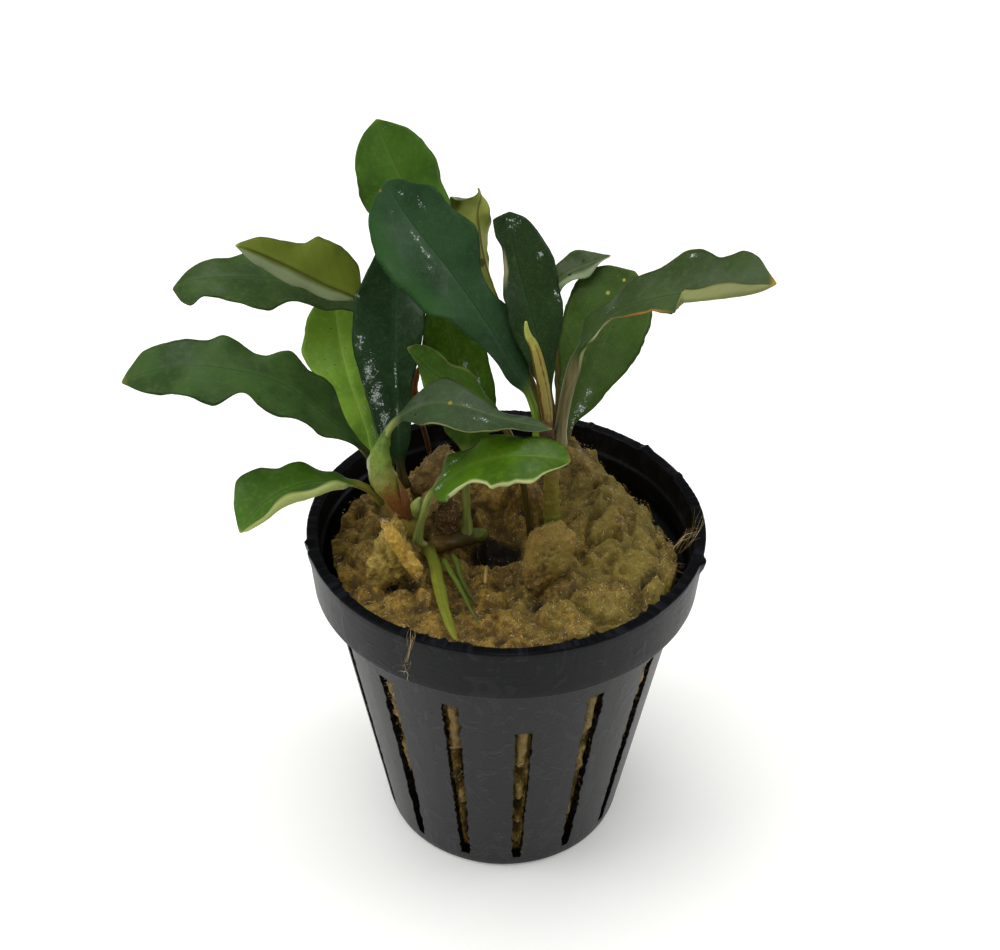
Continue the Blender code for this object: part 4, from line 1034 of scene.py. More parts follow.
def build_wool_strands(seed, count):
    """Loose mineral fibres that lie on the wool's top, some with an end standing free."""
    rng = np.random.default_rng(seed)
    angle = rng.uniform(0, math.tau, count)
    away = np.sqrt(rng.uniform(0.0, 1.0, count)) * (wool_edge(angle) - 0.2)
    x, y = away * np.cos(angle), away * np.sin(angle)
    wanted = 0.25 + 0.75 * smooth_step(0.5 * x - 0.8 * y, -6.0, 9.0)
    kept = rng.uniform(0.0, 1.0, count) < wanted
    x, y, count = x[kept], y[kept], int(kept.sum())
    heading = rng.uniform(0, math.tau, count)
    length = rng.uniform(0.12, 0.62, count)
    bend = rng.normal(0.0, 0.9, count)
    steps = 6
    t = np.linspace(-0.5, 0.5, steps)[None, :]
    course = heading[:, None] + bend[:, None] * t * 2.0
    px = x[:, None] + length[:, None] * t * np.cos(course)
    py = y[:, None] + length[:, None] * t * np.sin(course)
    far = np.hypot(px, py)
    limit = wool_edge(np.arctan2(py, px)) + 0.3
    shrink = np.minimum(1.0, limit / np.maximum(far, 1e-6))
    px, py = px * shrink, py * shrink
    ground = wool_top(px.ravel(), py.ravel()).reshape(px.shape)
    free = rng.uniform(0.0, 1.0, count) < 0.05
    rise = np.where(free, rng.uniform(0.2, 0.7, count), 0.0)[:, None] * np.clip(t + 0.1, 0, 1) ** 1.3 * 2
    arch = rng.uniform(0.0, 0.07, count)[:, None] * (1.0 - (2 * t) ** 2)
    settled = ground.mean(axis=1, keepdims=True) * 0.45 + ground * 0.55
    pz = np.maximum(settled, ground - 0.05) + 0.02 + arch + rise
    paths = np.stack([px, py, pz], -1)
    thick = rng.uniform(0.016, 0.032, count)[:, None] * (1.0 - 0.5 * np.abs(2 * t) ** 2)
    return strands("wool_fibres", paths, thick, rng.uniform(0, 1, count))


def build_slot_strands(seed, count):
    """Short fibres that stick out of the wool in the pot's slots."""
    rng = np.random.default_rng(seed)
    index = rng.integers(0, SLOT_COUNT, count)
    share = np.sqrt(rng.uniform(0.16, 1.0, count))
    height = SLOT_FOOT + (SLOT_TOP - SLOT_FOOT - 0.8) * share
    keep = ~((index == FRONT_SLOT) & (height > FRONT_SLOT_TOP - 0.4))
    index, height, share = index[keep], height[keep], share[keep]
    count = len(index)
    way = np.array([slot_angle(k) for k in index])
    half_slot = slot_width(share) / 2 - 0.15
    sideways = rng.uniform(-1, 1, count) * half_slot
    radius = wall_radius(height) + 0.3
    t = np.linspace(0.0, 1.0, 6)[None, :]
    length = rng.uniform(0.2, 0.8, count)[:, None]
    drift = rng.normal(0.0, 0.35, (count, 1))
    out = radius[:, None] + length * 0.75 * np.sin(t * math.pi * rng.uniform(0.45, 1.0, (count, 1)))
    across = sideways[:, None] + drift * t
    across = np.clip(across, -half_slot[:, None] - 0.3 * t, half_slot[:, None] + 0.3 * t)
    down = height[:, None] + length * rng.normal(0.0, 0.6, (count, 1)) * t
    cos, sin = np.cos(way)[:, None], np.sin(way)[:, None]
    paths = np.stack([out * cos - across * sin, out * sin + across * cos, down], -1)
    thick = rng.uniform(0.018, 0.038, count)[:, None] * (1.0 - 0.6 * t)
    return strands("slot_fibres", paths, thick, rng.uniform(0, 1, count))


def build_felt_strands(pieces, seed, count):
    """Short fibres that stand out of the skins of the torn lumps, most of them nearly lying."""
    rng = np.random.default_rng(seed)
    t = np.linspace(0.0, 1.0, 6)[None, :, None]
    bundles = []
    for piece in pieces:
        spots = np.empty(len(piece.data.vertices) * 3, np.float32)
        outward = np.empty_like(spots)
        piece.data.vertices.foreach_get("co", spots)
        piece.data.vertices.foreach_get("normal", outward)
        chosen = rng.integers(0, len(piece.data.vertices), count)
        start = spots.reshape(-1, 3)[chosen, None, :].astype(float) / MM
        normal = outward.reshape(-1, 3)[chosen, None, :].astype(float)
        aside = np.cross(normal, rng.normal(0.0, 1.0, (count, 1, 3)))
        aside /= np.linalg.norm(aside, axis=2, keepdims=True) + 1e-9
        length = rng.uniform(0.25, 0.9, (count, 1, 1))
        lift = rng.uniform(0.0, 0.35, (count, 1, 1)) ** 1.5
        bundles.append(start + length * (aside * t + normal * (0.06 * np.sin(math.pi * t) + lift * t**2)))
    paths = np.concatenate(bundles)
    thick = rng.uniform(0.014, 0.028, len(paths))[:, None] * (1.0 - 0.5 * t[:, :, 0])
    return strands("felt_fibres", paths, thick, rng.uniform(0.0, 1.0, len(paths)))


def build_tufts(seed):
    """Hair-thin fibres that hang loose over the rim and down the collar, in the bundles of TUFTS."""
    rng = np.random.default_rng(seed)
    t = np.linspace(0.0, 1.0, 9)[None, :, None]
    bundles = []
    for start, end, count, spread, bow in TUFTS:
        first = np.array(start) + rng.normal(0.0, spread, (count, 1, 3))
        last = np.array(end) + rng.normal(0.0, spread, (count, 1, 3))
        middle = (first + last) / 2 + np.array(bow) + rng.normal(0.0, spread, (count, 1, 3))
        curve = (1 - t) ** 2 * first + 2 * t * (1 - t) * middle + t**2 * last
        bundles.append(curve + 0.12 * rng.normal(0.0, 1.0, (count, 1, 3)) * np.sin(t * math.tau))
    paths = np.concatenate(bundles)
    thick = rng.uniform(0.010, 0.022, len(paths))[:, None] * (1.0 - 0.5 * t[:, :, 0])
    return strands("loose_fibres", paths, thick, rng.uniform(0.3, 1, len(paths)))


class Course(NamedTuple):
    """A tube's centre line: points with the side and upper directions, shares of its length, and radii."""
    path: np.ndarray
    side: np.ndarray
    up: np.ndarray
    length: float
    marks: np.ndarray
    radii: tuple

    def at(self, t):
        """Centre, side and upper direction at shares of the length."""
        return read_along(t, np.linspace(0.0, 1.0, TUBE_POINTS), self.path, self.side, self.up)

    def round_radius(self, t):
        """Radius at shares of the length, rounded off at both ends."""
        base = monotone(t, self.marks, self.radii)
        cap = np.minimum(np.minimum(t, 1.0 - t) * self.length / np.maximum(base, 0.05), 1.0)
        return base * np.sqrt(np.clip(1.0 - (1.0 - cap) ** 2, 0.0, 1.0))


def tube_course(tube, guide=None):
    """The course of a tube. The guide is a direction that its side stands square to."""
    path, length = smooth_path(tube.points, TUBE_POINTS)
    spans = np.linalg.norm(np.diff(np.asarray(tube.points), axis=0), axis=1)
    marks = np.concatenate([[0.0], np.cumsum(spans)]) / spans.sum()
    ahead = np.gradient(path, axis=0)
    ahead /= np.linalg.norm(ahead, axis=1)[:, None]
    if guide is None:
        guide = (0.0, 0.0, 1.0) if abs(ahead[TUBE_POINTS // 2, 2]) < 0.8 else (1.0, 0.0, 0.0)
    side = np.cross(ahead, np.array(guide))
    side /= np.linalg.norm(side, axis=1)[:, None]
    return Course(path, side, np.cross(side, ahead), length, marks, tube.radii)


def build_tube(name, tube, seed, rows, lumps, rings=0.0):
    """A closed round stem with uneven swelling and, where rings is their spacing in mm, leaf scars."""
    course = tube_course(tube)

    def form(turn, row):
        """Points and attributes of the stem's grid."""
        t = np.clip(row / rows, 0.0, 1.0)
        t = 0.5 * t + 0.5 * (0.5 - 0.5 * np.cos(math.pi * t))
        centre, across, above = course.at(t)
        angle = math.tau * turn
        here = t * course.length
        place = np.stack([np.cos(angle) * 2.0, np.sin(angle) * 2.0, here], -1)
        swell = 1.0 + lumps * rough(place, 1.8, seed) + 0.5 * lumps * rough(place, 0.7, seed + 1)
        radius = course.round_radius(t) * swell
        if rings:
            off = np.mod(here + 0.3 * np.cos(angle), rings) - rings / 2
            radius = radius * (1.0 + 0.10 * np.exp(-(off / 0.16) ** 2))
        around = across * np.cos(angle)[:, None] + above * np.sin(angle)[:, None]
        ruler = np.stack([t, angle / math.tau, here], -1)
        return (centre + around * radius[:, None]) * MM, {"stem_place": ruler}

    return shaped_grid(name, TUBE_RING, rows, form)


def build_rolled_leaf(name, tube, seed):
    """A young leaf still rolled in a spiral, with its free edge as a seam down one side."""
    course = tube_course(tube, (0.0, 1.0, 0.0))

    def form(turn, row):
        """Points and attributes of the roll."""
        t = row / ROLL_ROWS
        centre, across, above = course.at(t)
        angle = math.tau * turn
        here = t * course.length
        seam = math.radians(-125) + 0.5 * (t - 0.4)
        past = np.mod(angle - seam, math.tau)
        spiral = 1.0 + 0.16 * (1.0 - past / math.tau) - 0.22 * np.exp(-(past / 0.20) ** 2)
        spiral = spiral - 0.10 * np.exp(-((math.tau - past) / 0.12) ** 2)
        place = np.stack([np.cos(angle), np.sin(angle), here], -1)
        radius = course.round_radius(t) * spiral * (1.0 + 0.05 * rough(place, 1.5, seed))
        around = across * np.cos(angle)[:, None] + above * np.sin(angle)[:, None]
        ruler = np.stack([t, np.minimum(past, math.tau - past), here], -1)
        return (centre + around * radius[:, None]) * MM, {"stem_place": ruler}

    return shaped_grid(name, ROLL_RING, ROLL_ROWS, form)


def build_shred(name, shred, seed, fuzz):
    """A torn lump of wool: a swollen ball with a felted, uneven skin."""
    spin = Euler([math.radians(turn) for turn in shred.turn]).to_matrix()
    reach = max(shred.half)

    def form(turn, row):
        """Points and attributes of the lump."""
        angle, polar = math.tau * turn, math.pi * row / SHRED_ROWS
        ball = np.stack([np.sin(polar) * np.cos(angle), np.sin(polar) * np.sin(angle), np.cos(polar)], -1)
        body = ball * np.array(shred.half)
        swell = 1.0 + shred.lump * rough(body, reach * 0.55, shred.seed)
        swell = swell + 0.4 * shred.lump * rough(body, reach * 0.22, shred.seed + 1)
        swell = swell + fuzz * rough(body, 0.55, seed) + 0.5 * fuzz * rough(body, 0.25, seed + 1)
        body = body * swell[:, None]
        body[:, :2] *= (1.0 + shred.taper * ball[:, 2])[:, None]
        points = body @ np.array(spin).T + np.array(shred.centre)
        # Painted shade in the lump's creases and on its underside
        painted_crease_shade = 1.0 - smooth_step(swell, 1.0 - 0.7 * shred.lump, 1.0)
        foot = smooth_step(-ball[:, 2], 0.2, 0.9)
        marks = np.stack([0.6 * np.maximum(painted_crease_shade, foot), 0 * angle, 0 * angle], -1)
        return points * MM, {"wool_place": marks}

    return shaped_grid(name, SHRED_RING, SHRED_ROWS, form)


class Look(NamedTuple):
    """A leaf's colours as sRGB hex, how wet it is, and its marks.

    bands are (side, start, end, level, colour): a strip along a margin, outside that level.
    spots are (share, level, size in mm, colour); glints are (share, level, length and width in mm, how
    thickly they lie): patches where the wet coat is thicker and pale highlights are painted in.
    """
    face: str
    deep: str
    light: str
    edge: str
    rib: str
    back: str
    stalk: str
    tip: str = "#6b6a2c"
    wet: float = 0.5
    speckle: float = 0.06
    frill: float = 0.18
    bands: tuple = ()
    spots: tuple = ()
    glints: tuple = ()


LOOKS = {
    "left_leaf_long": Look(
        "#375122", "#182d10", "#486630", "#6a7a3c", "#24401c", "#6d7a3c", "#4a3d1c", tip="#6a6a2c",
        spots=((0.50, -0.75, 0.2, "#26350f"),)),
    "left_leaf_upper": Look(
        "#384e20", "#1e3312", "#4d6a2f", "#59683a", "#2a4020", "#5f6b38", "#44421c", tip="#3a5022"),
    "left_leaf_olive": Look(
        "#3f5420", "#26360f", "#566a2a", "#8a8a46", "#43340f", "#657226", "#4c4a1e", tip="#a89a5c",
        wet=0.35,
        bands=((1, 0.10, 1.0, 0.16, "#93a078"),)),
    "left_leaf_light": Look(
        "#7da336", "#4a7422", "#a5cd51", "#8fa552", "#9cb860", "#7f8f4a", "#7f8f3c",
        spots=((0.55, 0.35, 0.10, "#22300c"), (0.58, -0.30, 0.11, "#1f2c0c"),
               (0.62, -0.5, 0.09, "#1f2c0c"), (0.78, -0.2, 0.10, "#2c3d10"), (0.66, 0.1, 0.09, "#2c3d10"),
               (0.72, 0.6, 0.12, "#2c3d10")),
        glints=((0.20, 0.45, 1.8, 0.4, 1.0), (0.32, 0.35, 1.4, 0.3, 0.9), (0.10, 0.5, 1.4, 0.4, 0.9))),
    "left_leaf_glossy": Look(
        "#1d3419", "#0e200c", "#365a2f", "#3a5230", "#1c2e18", "#4a5a34", "#4a3f1e", wet=1.0,
        glints=((0.75, -0.95, 0.9, 0.7, 0.8), (0.55, -0.80, 2.0, 0.8, 0.9), (0.44, -0.72, 3.0, 1.2, 1.0),
                (0.33, -0.66, 3.4, 1.3, 1.0), (0.22, -0.55, 2.6, 1.2, 1.0), (0.42, 0.02, 3.4, 0.28, 1.0),
                (0.26, 0.05, 2.4, 0.35, 1.0))),
    "left_leaf_low": Look(
        "#42661b", "#284210", "#688b2f", "#6a8240", "#34521c", "#a8b468", "#75742f", tip="#a3923a",
        bands=((-1, 0.0, 0.3, 0.86, "#8a9450"),)),
    "left_leaf_spotted": Look(
        "#35482a", "#22311a", "#52633e", "#9a8648", "#4a5a34", "#8a8c50", "#8f9a54", tip="#6f6c38",
        wet=0.6,
        bands=((1, 0.30, 1.0, 0.90, "#8a8f5c"),),
        spots=((0.41, 0.0, 0.30, "#8f7c3c"), (0.20, 0.42, 0.22, "#141c0c"), (0.16, 0.25, 0.14, "#141c0c")),
        glints=((0.62, 0.3, 2.0, 0.5, 0.75), (0.5, -0.1, 1.4, 0.4, 0.6))),
    "mid_leaf_bright": Look(
        "#45680b", "#213806", "#61811e", "#9aa860", "#4a6a1a", "#a0a868", "#8f9a50", wet=0.7,
        bands=((1, 0.25, 1.0, 0.74, "#b5bb80"),),
        glints=((0.18, -0.25, 1.6, 0.5, 1.0), (0.26, -0.6, 1.4, 0.6, 0.9), (0.13, 0.3, 1.2, 0.6, 1.0))),
    "mid_leaf_small": Look(
        "#496923", "#274112", "#689338", "#8a9054", "#3a5220", "#6f7a3c", "#50451c", tip="#8a7a44",
        bands=((1, 0.3, 0.9, 0.92, "#7d8c4a"),)),
    "mid_leaf_broad": Look(
        "#3f5f12", "#294208", "#658924", "#6a7838", "#34501a", "#5c6a30", "#8a9448", wet=0.75,
        glints=((0.52, 0.25, 1.2, 0.6, 0.95), (0.42, 0.55, 1.6, 0.6, 1.0), (0.30, 0.7, 1.8, 0.5, 1.0))),
    "right_leaf_large": Look(
        "#2b4829", "#182d17", "#3c5a38", "#4f7a2e", "#1c3420", "#5f6e3c", "#7a9434", tip="#2e4a28",
        wet=0.6,
        bands=((-1, 0.50, 0.96, 0.50, "#2b4f24"),),
        spots=((0.985, -0.9, 0.25, "#a5803a"),),
        glints=((0.93, 0.25, 0.8, 0.5, 0.75), (0.90, -0.3, 0.8, 0.4, 0.5), (0.84, 0.45, 1.6, 0.5, 0.65),
                (0.78, -0.12, 1.8, 0.6, 0.75), (0.71, -0.14, 2.0, 0.6, 0.8), (0.66, -0.3, 1.2, 0.6, 0.6))),
    "right_leaf_back": Look(
        "#466b1d", "#315011", "#63892f", "#5c7430", "#4c5a20", "#6f8438", "#565222", tip="#5a7428",
        wet=0.4,
        glints=((0.93, 0.25, 0.6, 0.7, 0.5), (0.62, -0.95, 0.4, 0.4, 0.5))),
    "right_leaf_pale": Look(
        "#34501f", "#1d3010", "#4a6430", "#6a703a", "#4a2c12", "#909845", "#5a5424", tip="#8a8034",
        wet=0.35,
        spots=((0.35, 0.2, 0.6, "#4a4418"),)),
    "right_leaf_dark": Look(
        "#24391a", "#14250e", "#365228", "#4a5530", "#1a2c16", "#5c6034", "#443c1a", tip="#26381a",
        wet=0.85, speckle=0.12,
        bands=((-1, 0.66, 0.80, 0.74, "#8a8a68"),),
        glints=((0.94, 0.2, 1.1, 1.2, 0.95), (0.75, 0.66, 0.8, 0.6, 0.9), (0.52, 0.85, 1.1, 0.4, 0.9))),
    "right_leaf_small": Look(
        "#3a4926", "#243212", "#596a3f", "#7a7c4c", "#4a5638", "#6a6e40", "#4f4a20", tip="#b0983c",
        bands=((1, 0.25, 1.0, 0.35, "#7f8c6a"),),
        spots=((0.5, 0.3, 0.3, "#1f260f"), (0.7, -0.3, 0.25, "#20280f"))),
    "right_leaf_broad": Look(
        "#3c5420", "#293d16", "#546c2f", "#5f6c3c", "#34481f", "#6a7040", "#4a421c", tip="#4c6028",
        wet=0.6, speckle=0.14,
        spots=((0.93, -0.15, 0.22, "#b0a848"), (0.83, -0.31, 0.28, "#a8a04a"),
               (0.66, 0.1, 0.14, "#1c2810"), (0.58, -0.4, 0.14, "#1c2810")),
        glints=((0.16, 0.35, 2.0, 0.9, 0.95), (0.26, 0.35, 1.6, 0.9, 0.8), (0.08, 0.5, 1.2, 0.6, 0.9))),
    "right_leaf_long": Look(
        "#384b23", "#233314", "#4a6032", "#8a6c34", "#2c3a20", "#7d8250", "#736b48", tip="#b08a34",
        wet=0.5,
        bands=((1, 0.26, 0.40, 0.86, "#a58a40"), (1, 0.38, 0.56, 0.84, "#a0702a"),
               (1, 0.18, 0.26, 0.80, "#b5ad84")),
        glints=((0.66, -0.85, 0.8, 0.5, 0.9), (0.32, -0.3, 2.0, 0.6, 0.5))),
    "withered_leaf": Look(
        "#8a5626", "#5a3a16", "#b07a44", "#7a4c22", "#5a3818", "#5a3a1a", "#4a2c10", tip="#2c1a0c",
        wet=0.3),
    "thick_root": Look(
        "#6b6d1d", "#475014", "#8e9130", "#6c7428", "#5a6a20", "#4f5a1e", "#5a5420", tip="#8a7c34",
        wet=0.7, frill=0.05),
}


def half_width(leaf, share, level):
    """Half width in mm of a blade at a share of its length, on the side of that level."""
    points = leaf.right if level > 0 else leaf.left
    return float(outline(points, np.array([share]), leaf.stalk_radius)[0])


def leaf_bands(tree, colour, look, share, level, cloud):
    """The colour with the look's strips along the margins, cloudy at their inner edges."""
    for side, start, end, inner, shade in look.bands:
        shifted = times_plus(tree, cloud, 0.35, -0.17)
        sided = times_plus(tree, level, float(side), shifted)
        soft = 0.10 if inner > 0.6 else 0.28
        wide = ease(tree, sided, inner - 0.4 * soft, inner + soft)
        begins = ease(tree, share, start - 0.04, start + 0.06)
        ends = ease(tree, share, end - 0.05, end + 0.05, 0.9, 0.0)
        mask = times(tree, times(tree, wide, begins), ends)
        colour = blend(tree, mask, colour, linear(shade))
    return colour


def leaf_spots(tree, colour, leaf, look, flat, grain):
    """The colour with the look's spots, uneven at their edges."""
    for share, level, size, shade in look.spots:
        centre = (share * leaf_length(leaf), level * half_width(leaf, share, level), 0.0)
        away = vector_of(tree, "DISTANCE", flat, centre, 1)
        away = times_plus(tree, grain, size * 0.8, away)
        mask = ease(tree, away, size * 1.05, size * 1.55, 0.92, 0.0)
        colour = blend(tree, mask, colour, linear(shade))
    return colour


def water_and_painted_glints(tree, leaf, look, flat, grain):
    """How thickly water stands, from 0 to 1, in the look's glints: a thicker coat and painted highlights."""
    film_and_painted_glint = 0.0
    for share, level, long, wide, thick in look.glints:
        centre = (share * leaf_length(leaf), level * half_width(leaf, share, level), 0.0)
        near = vector_of(tree, "SUBTRACT", flat, centre)
        near = vector_of(tree, "MULTIPLY", near, (1.0 / long, 1.0 / wide, 0.0))
        near = vector_of(tree, "LENGTH", near, output=1)
        near = times_plus(tree, grain, 2.4, near)
        near = ease(tree, near, 1.0, 2.5, thick, 0.0)
        film_and_painted_glint = larger(tree, film_and_painted_glint, near)
    return film_and_painted_glint


def leaf_veins(tree, grain, along, half):
    """How far the colour turns to the veins' own, where side veins leave the midrib at a slant."""
    slant = times_plus(tree, half, -VEIN_SLANT, along)
    shaken = times_plus(tree, grain, 0.5, slant)
    wave = math_of(tree, "PINGPONG", shaken, VEIN_SPACING / 2)
    return ease(tree, wave, 0.78, 0.95, 0.0, 0.08)


def leaf_material(name, leaf, look):
    """Living leaf skin. Cloudy greens, a paler midrib and side veins, its own margin, marks and underside
    make it read as a real leaf; the wet film on top breaks the light, and in patches a pale painted sheen
    and painted glints lie in its colour."""
    material, tree, shader = new_material(
        name + "_leaf_skin", IOR=1.42, Specular_IOR_Level=0.12, Coat_Roughness=0.12, Coat_IOR=1.4)
    ruler = attribute(tree, "leaf_mm")
    flat = vector_of(tree, "MULTIPLY", ruler, (1.0, 1.0, 0.0))
    space = object_space(tree)
    share, level, under = parts_of(tree, attribute(tree, "leaf_place"))
    along, across, _ = parts_of(tree, ruler)
    half = math_of(tree, "ABSOLUTE", across)

    # Upper side
    cloud = noise_of(tree, space, 6.0, 2.5)
    grain = noise_of(tree, space, 0.7, 5.0, 0.6)
    patchy = ease(tree, cloud, 0.34, 0.64, 0.42)
    colour = blend(tree, patchy, linear(look.deep), linear(look.face))
    fleck = ease(tree, grain, 0.45, 0.75, 0.0, 0.30)
    colour = blend(tree, fleck, colour, linear(look.light))
    vein = leaf_veins(tree, grain, along, half)
    colour = blend(tree, vein, colour, linear(look.light))
    foot = ease(tree, share, 0.0, 0.34, 0.55, 0.0)
    colour = blend(tree, foot, colour, linear(look.deep))

    # Underside, with its veins darker
    below = blend(tree, patchy, shaded(look.back, 0.7), linear(look.back))
    traced = times(tree, vein, 1.6)
    below = blend(tree, traced, below, shaded(look.back, 0.45))
    colour = blend(tree, under, colour, below)

    # Margin, strips, midrib, spots, tip and stalk
    rim = ease(tree, math_of(tree, "ABSOLUTE", level), 0.95, 1.0, 0.0, 0.35)
    colour = blend(tree, rim, colour, linear(look.edge))
    colour = leaf_bands(tree, colour, look, share, level, cloud)
    banks = ease(tree, half, 0.15, 0.75, 0.16, 0.0)
    colour = blend(tree, banks, colour, linear(look.light))
    bare = ease(tree, share, 0.86, 0.99, 1.0, 0.0)
    thread = times(tree, ease(tree, half, 0.04, 0.17, 0.65, 0.0), bare)
    colour = blend(tree, thread, colour, linear(look.rib))
    colour = leaf_spots(tree, colour, leaf, look, flat, grain)
    tip = ease(tree, share, 0.965, 1.0, 0.0, 0.85)
    colour = blend(tree, tip, colour, linear(look.tip))
    streak = ease(tree, streaks(tree, ruler, (0.27, 4.5, 1.5), 2.0), 0.40, 0.62)
    stalk = blend(tree, streak, linear(look.stalk), shaded(look.stalk, 0.66))
    start = ease(tree, share, -0.02, 0.10, 1.0, 0.0)
    colour = blend(tree, start, colour, stalk)
    if look.speckle:
        dots = put(tree, "ShaderNodeTexVoronoi", {}, {"Vector": space, "Scale": per_mm(0.23)})
        dot = ease(tree, dots, 0.12, 0.34, look.speckle, 0.0)
        colour = blend(tree, dot, colour, linear("#8d9c6a"))

    # Painted highlights: where the wet film gathers in patches, a pale sheen and grains of light are
    # painted into its colour, and its coat is thicker
    film_and_painted_glint = water_and_painted_glints(tree, leaf, look, flat, grain)
    if look.glints:
        painted_glint_grain = noise_of(tree, space, 0.24, 3.0, 0.7)
        bright = ease(tree, times_plus(tree, film_and_painted_glint, 0.22, painted_glint_grain), 0.68, 0.76)
        bright = times(tree, bright, ramp(tree, film_and_painted_glint, 0.1, 0.45, 0.0, 0.80))
        sheen = ease(tree, film_and_painted_glint, 0.5, 1.0, 0.0, 0.16)
        colour = blend(tree, larger(tree, sheen, bright), colour, linear("#c8d4cc"))
    film = noise_of(tree, space, 4.5, 3.0)
    wet = ease(tree, film, 0.45, 0.66, 0.02, 0.22 * look.wet)
    wet = larger(tree, wet, times(tree, film_and_painted_glint, 0.7))
    satin = ease(tree, film, 0.40, 0.62, 0.52, 0.38 - 0.12 * look.wet)
    pores = noise_of(tree, space, 0.16, 2.0)
    relief = times_plus(tree, vein, 2.0, pores)
    relief = times_plus(tree, grain, 0.8, relief)
    bead = noise_of(tree, space, 0.38, 3.0)
    feed(shader, Base_Color=colour, Coat_Weight=wet, Roughness=satin,
         Normal=bump_of(tree, relief, 0.55, 0.05), Coat_Normal=bump_of(tree, bead, 0.8, 0.07))
    return material


def stem_material(name, colours, wet=0.6, scars=0.45, seam=None):
    """Stem or root bark. Colours that change along it and darker scars, under a thin wet film.
    colours are (share of the length, hex), blended in turn. seam is the hex of a rolled leaf's dry edges."""
    material, tree, shader = new_material(name, IOR=1.42, Specular_IOR_Level=0.2, Coat_Roughness=0.12,
                                          Coat_IOR=1.33, Coat_Weight=0.4 * wet)
    ruler = attribute(tree, "stem_place")
    space = object_space(tree)
    share, turn, _ = parts_of(tree, ruler)
    cloud = noise_of(tree, space, 1.1, 5.0)
    shaken = times_plus(tree, cloud, 0.5, share)
    colour = linear(colours[0][1])
    for (low, _), (high, shade) in zip(colours, colours[1:]):
        mask = ease(tree, shaken, low + 0.25, high + 0.25)
        colour = blend(tree, mask, colour, linear(shade))
    if seam:
        worn = times_plus(tree, cloud, 0.5, turn)
        far = math_of(tree, "ABSOLUTE", math_of(tree, "ADD", worn, -1.75))
        near = math_of(tree, "MINIMUM", worn, far)
        dry = ease(tree, near, 0.22, 0.48, 0.9, 0.0)
        above = ease(tree, share, 0.72, 0.92, 1.0, 0.0)
        dry = times(tree, dry, above)
        colour = blend(tree, dry, colour, linear(seam))
    grain = noise_of(tree, space, 0.35, 4.0)
    dark = ease(tree, grain, 0.52, 0.78, 0.0, scars)
    colour = blend(tree, dark, colour, linear("#1f160a"))
    feed(shader, Base_Color=colour, Roughness=ramp(tree, grain, 0.3, 0.7, 0.28, 0.55),
         Normal=bump_of(tree, grain, 0.8, 0.12))
    return material


def wool_material(name, shades, glint=0.5, sparkle=0.7):
    """Wet rock wool. Brown, gold and olive clouds in felted lumps, painted shade near black in its creases,
    pits and hollow, and a very rough wet skin whose tiny facets glint, with pale painted glints as well.
    shades are hex: dark, brown, gold, olive; sparkle is how strong the painted glints are."""
    material, tree, shader = new_material(name, IOR=1.45, Specular_IOR_Level=0.25, Coat_Weight=glint,
                                          Coat_Roughness=0.12, Coat_IOR=1.33)
    space = object_space(tree)
    dark, brown, gold, olive = (linear(shade) for shade in shades)
    big = noise_of(tree, space, 4.5, 4.0, 0.6)
    small = noise_of(tree, space, 1.1, 6.0, 0.65)
    fine = noise_of(tree, space, 0.32, 6.0, 0.75, 1.2)
    colour = blend(tree, ease(tree, small, 0.40, 0.60), brown, gold)
    rightward = ease(tree, parts_of(tree, space)[0], -6 * MM, 16 * MM, 0.0, 0.28)
    leaning = math_of(tree, "ADD", big, rightward)
    greener = ease(tree, leaning, 0.50, 0.85, 0.0, 0.85)
    colour = blend(tree, greener, colour, olive)
    shade = ease(tree, fine, 0.32, 0.52, 0.62, 0.0)
    colour = blend(tree, shade, colour, dark)
    cloudy = ease(tree, big, 0.28, 0.46, 0.45, 0.0)
    colour = blend(tree, cloudy, colour, dark)

    # Painted glints: pale grains of painted light for wet fibre ends, thickest where the wool is fullest
    grains = noise_of(tree, space, 0.20, 2.0, 0.5, 2.0)
    spread = times_plus(tree, small, 0.30, grains)
    spark = ease(tree, spread, 0.79, 0.88, 0.0, sparkle)
    colour = blend(tree, spark, colour, linear("#efdca6"))

    # The wool is duller in the slots, and painted shade makes it near black in creases, pits and hollows
    painted_shade, slotted, _ = parts_of(tree, attribute(tree, "wool_place"))
    colour = blend(tree, times(tree, slotted, 0.30), colour, linear("#4c3a16"))
    painted_shade_mix = ease(tree, painted_shade, 0.15, 0.95, 0.0, 0.96)
    colour = blend(tree, painted_shade_mix, colour, dark)
    bump = bump_of(tree, times_plus(tree, small, 2.0, fine), 0.9, 0.22)
    feed(shader, Base_Color=colour, Roughness=ramp(tree, fine, 0.3, 0.7, 0.35, 0.8), Normal=bump,
         Coat_Normal=bump)
    return material


def fibre_material(name, shades):
    """Mineral fibre. Each strand has its own tone between brown, tan and straw, and shines like glass."""
    material, tree, shader = new_material(name, Roughness=0.32, IOR=1.5)
    tone = parts_of(tree, attribute(tree, "strand"))[0]
    colour = linear(shades[0])
    for k, shade in enumerate(shades[1:]):
        edge = (k + 1) / len(shades)
        mask = ramp(tree, tone, edge - 0.06, edge + 0.06)
        colour = blend(tree, mask, colour, linear(shade))
    feed(shader, Base_Color=colour)
    return material


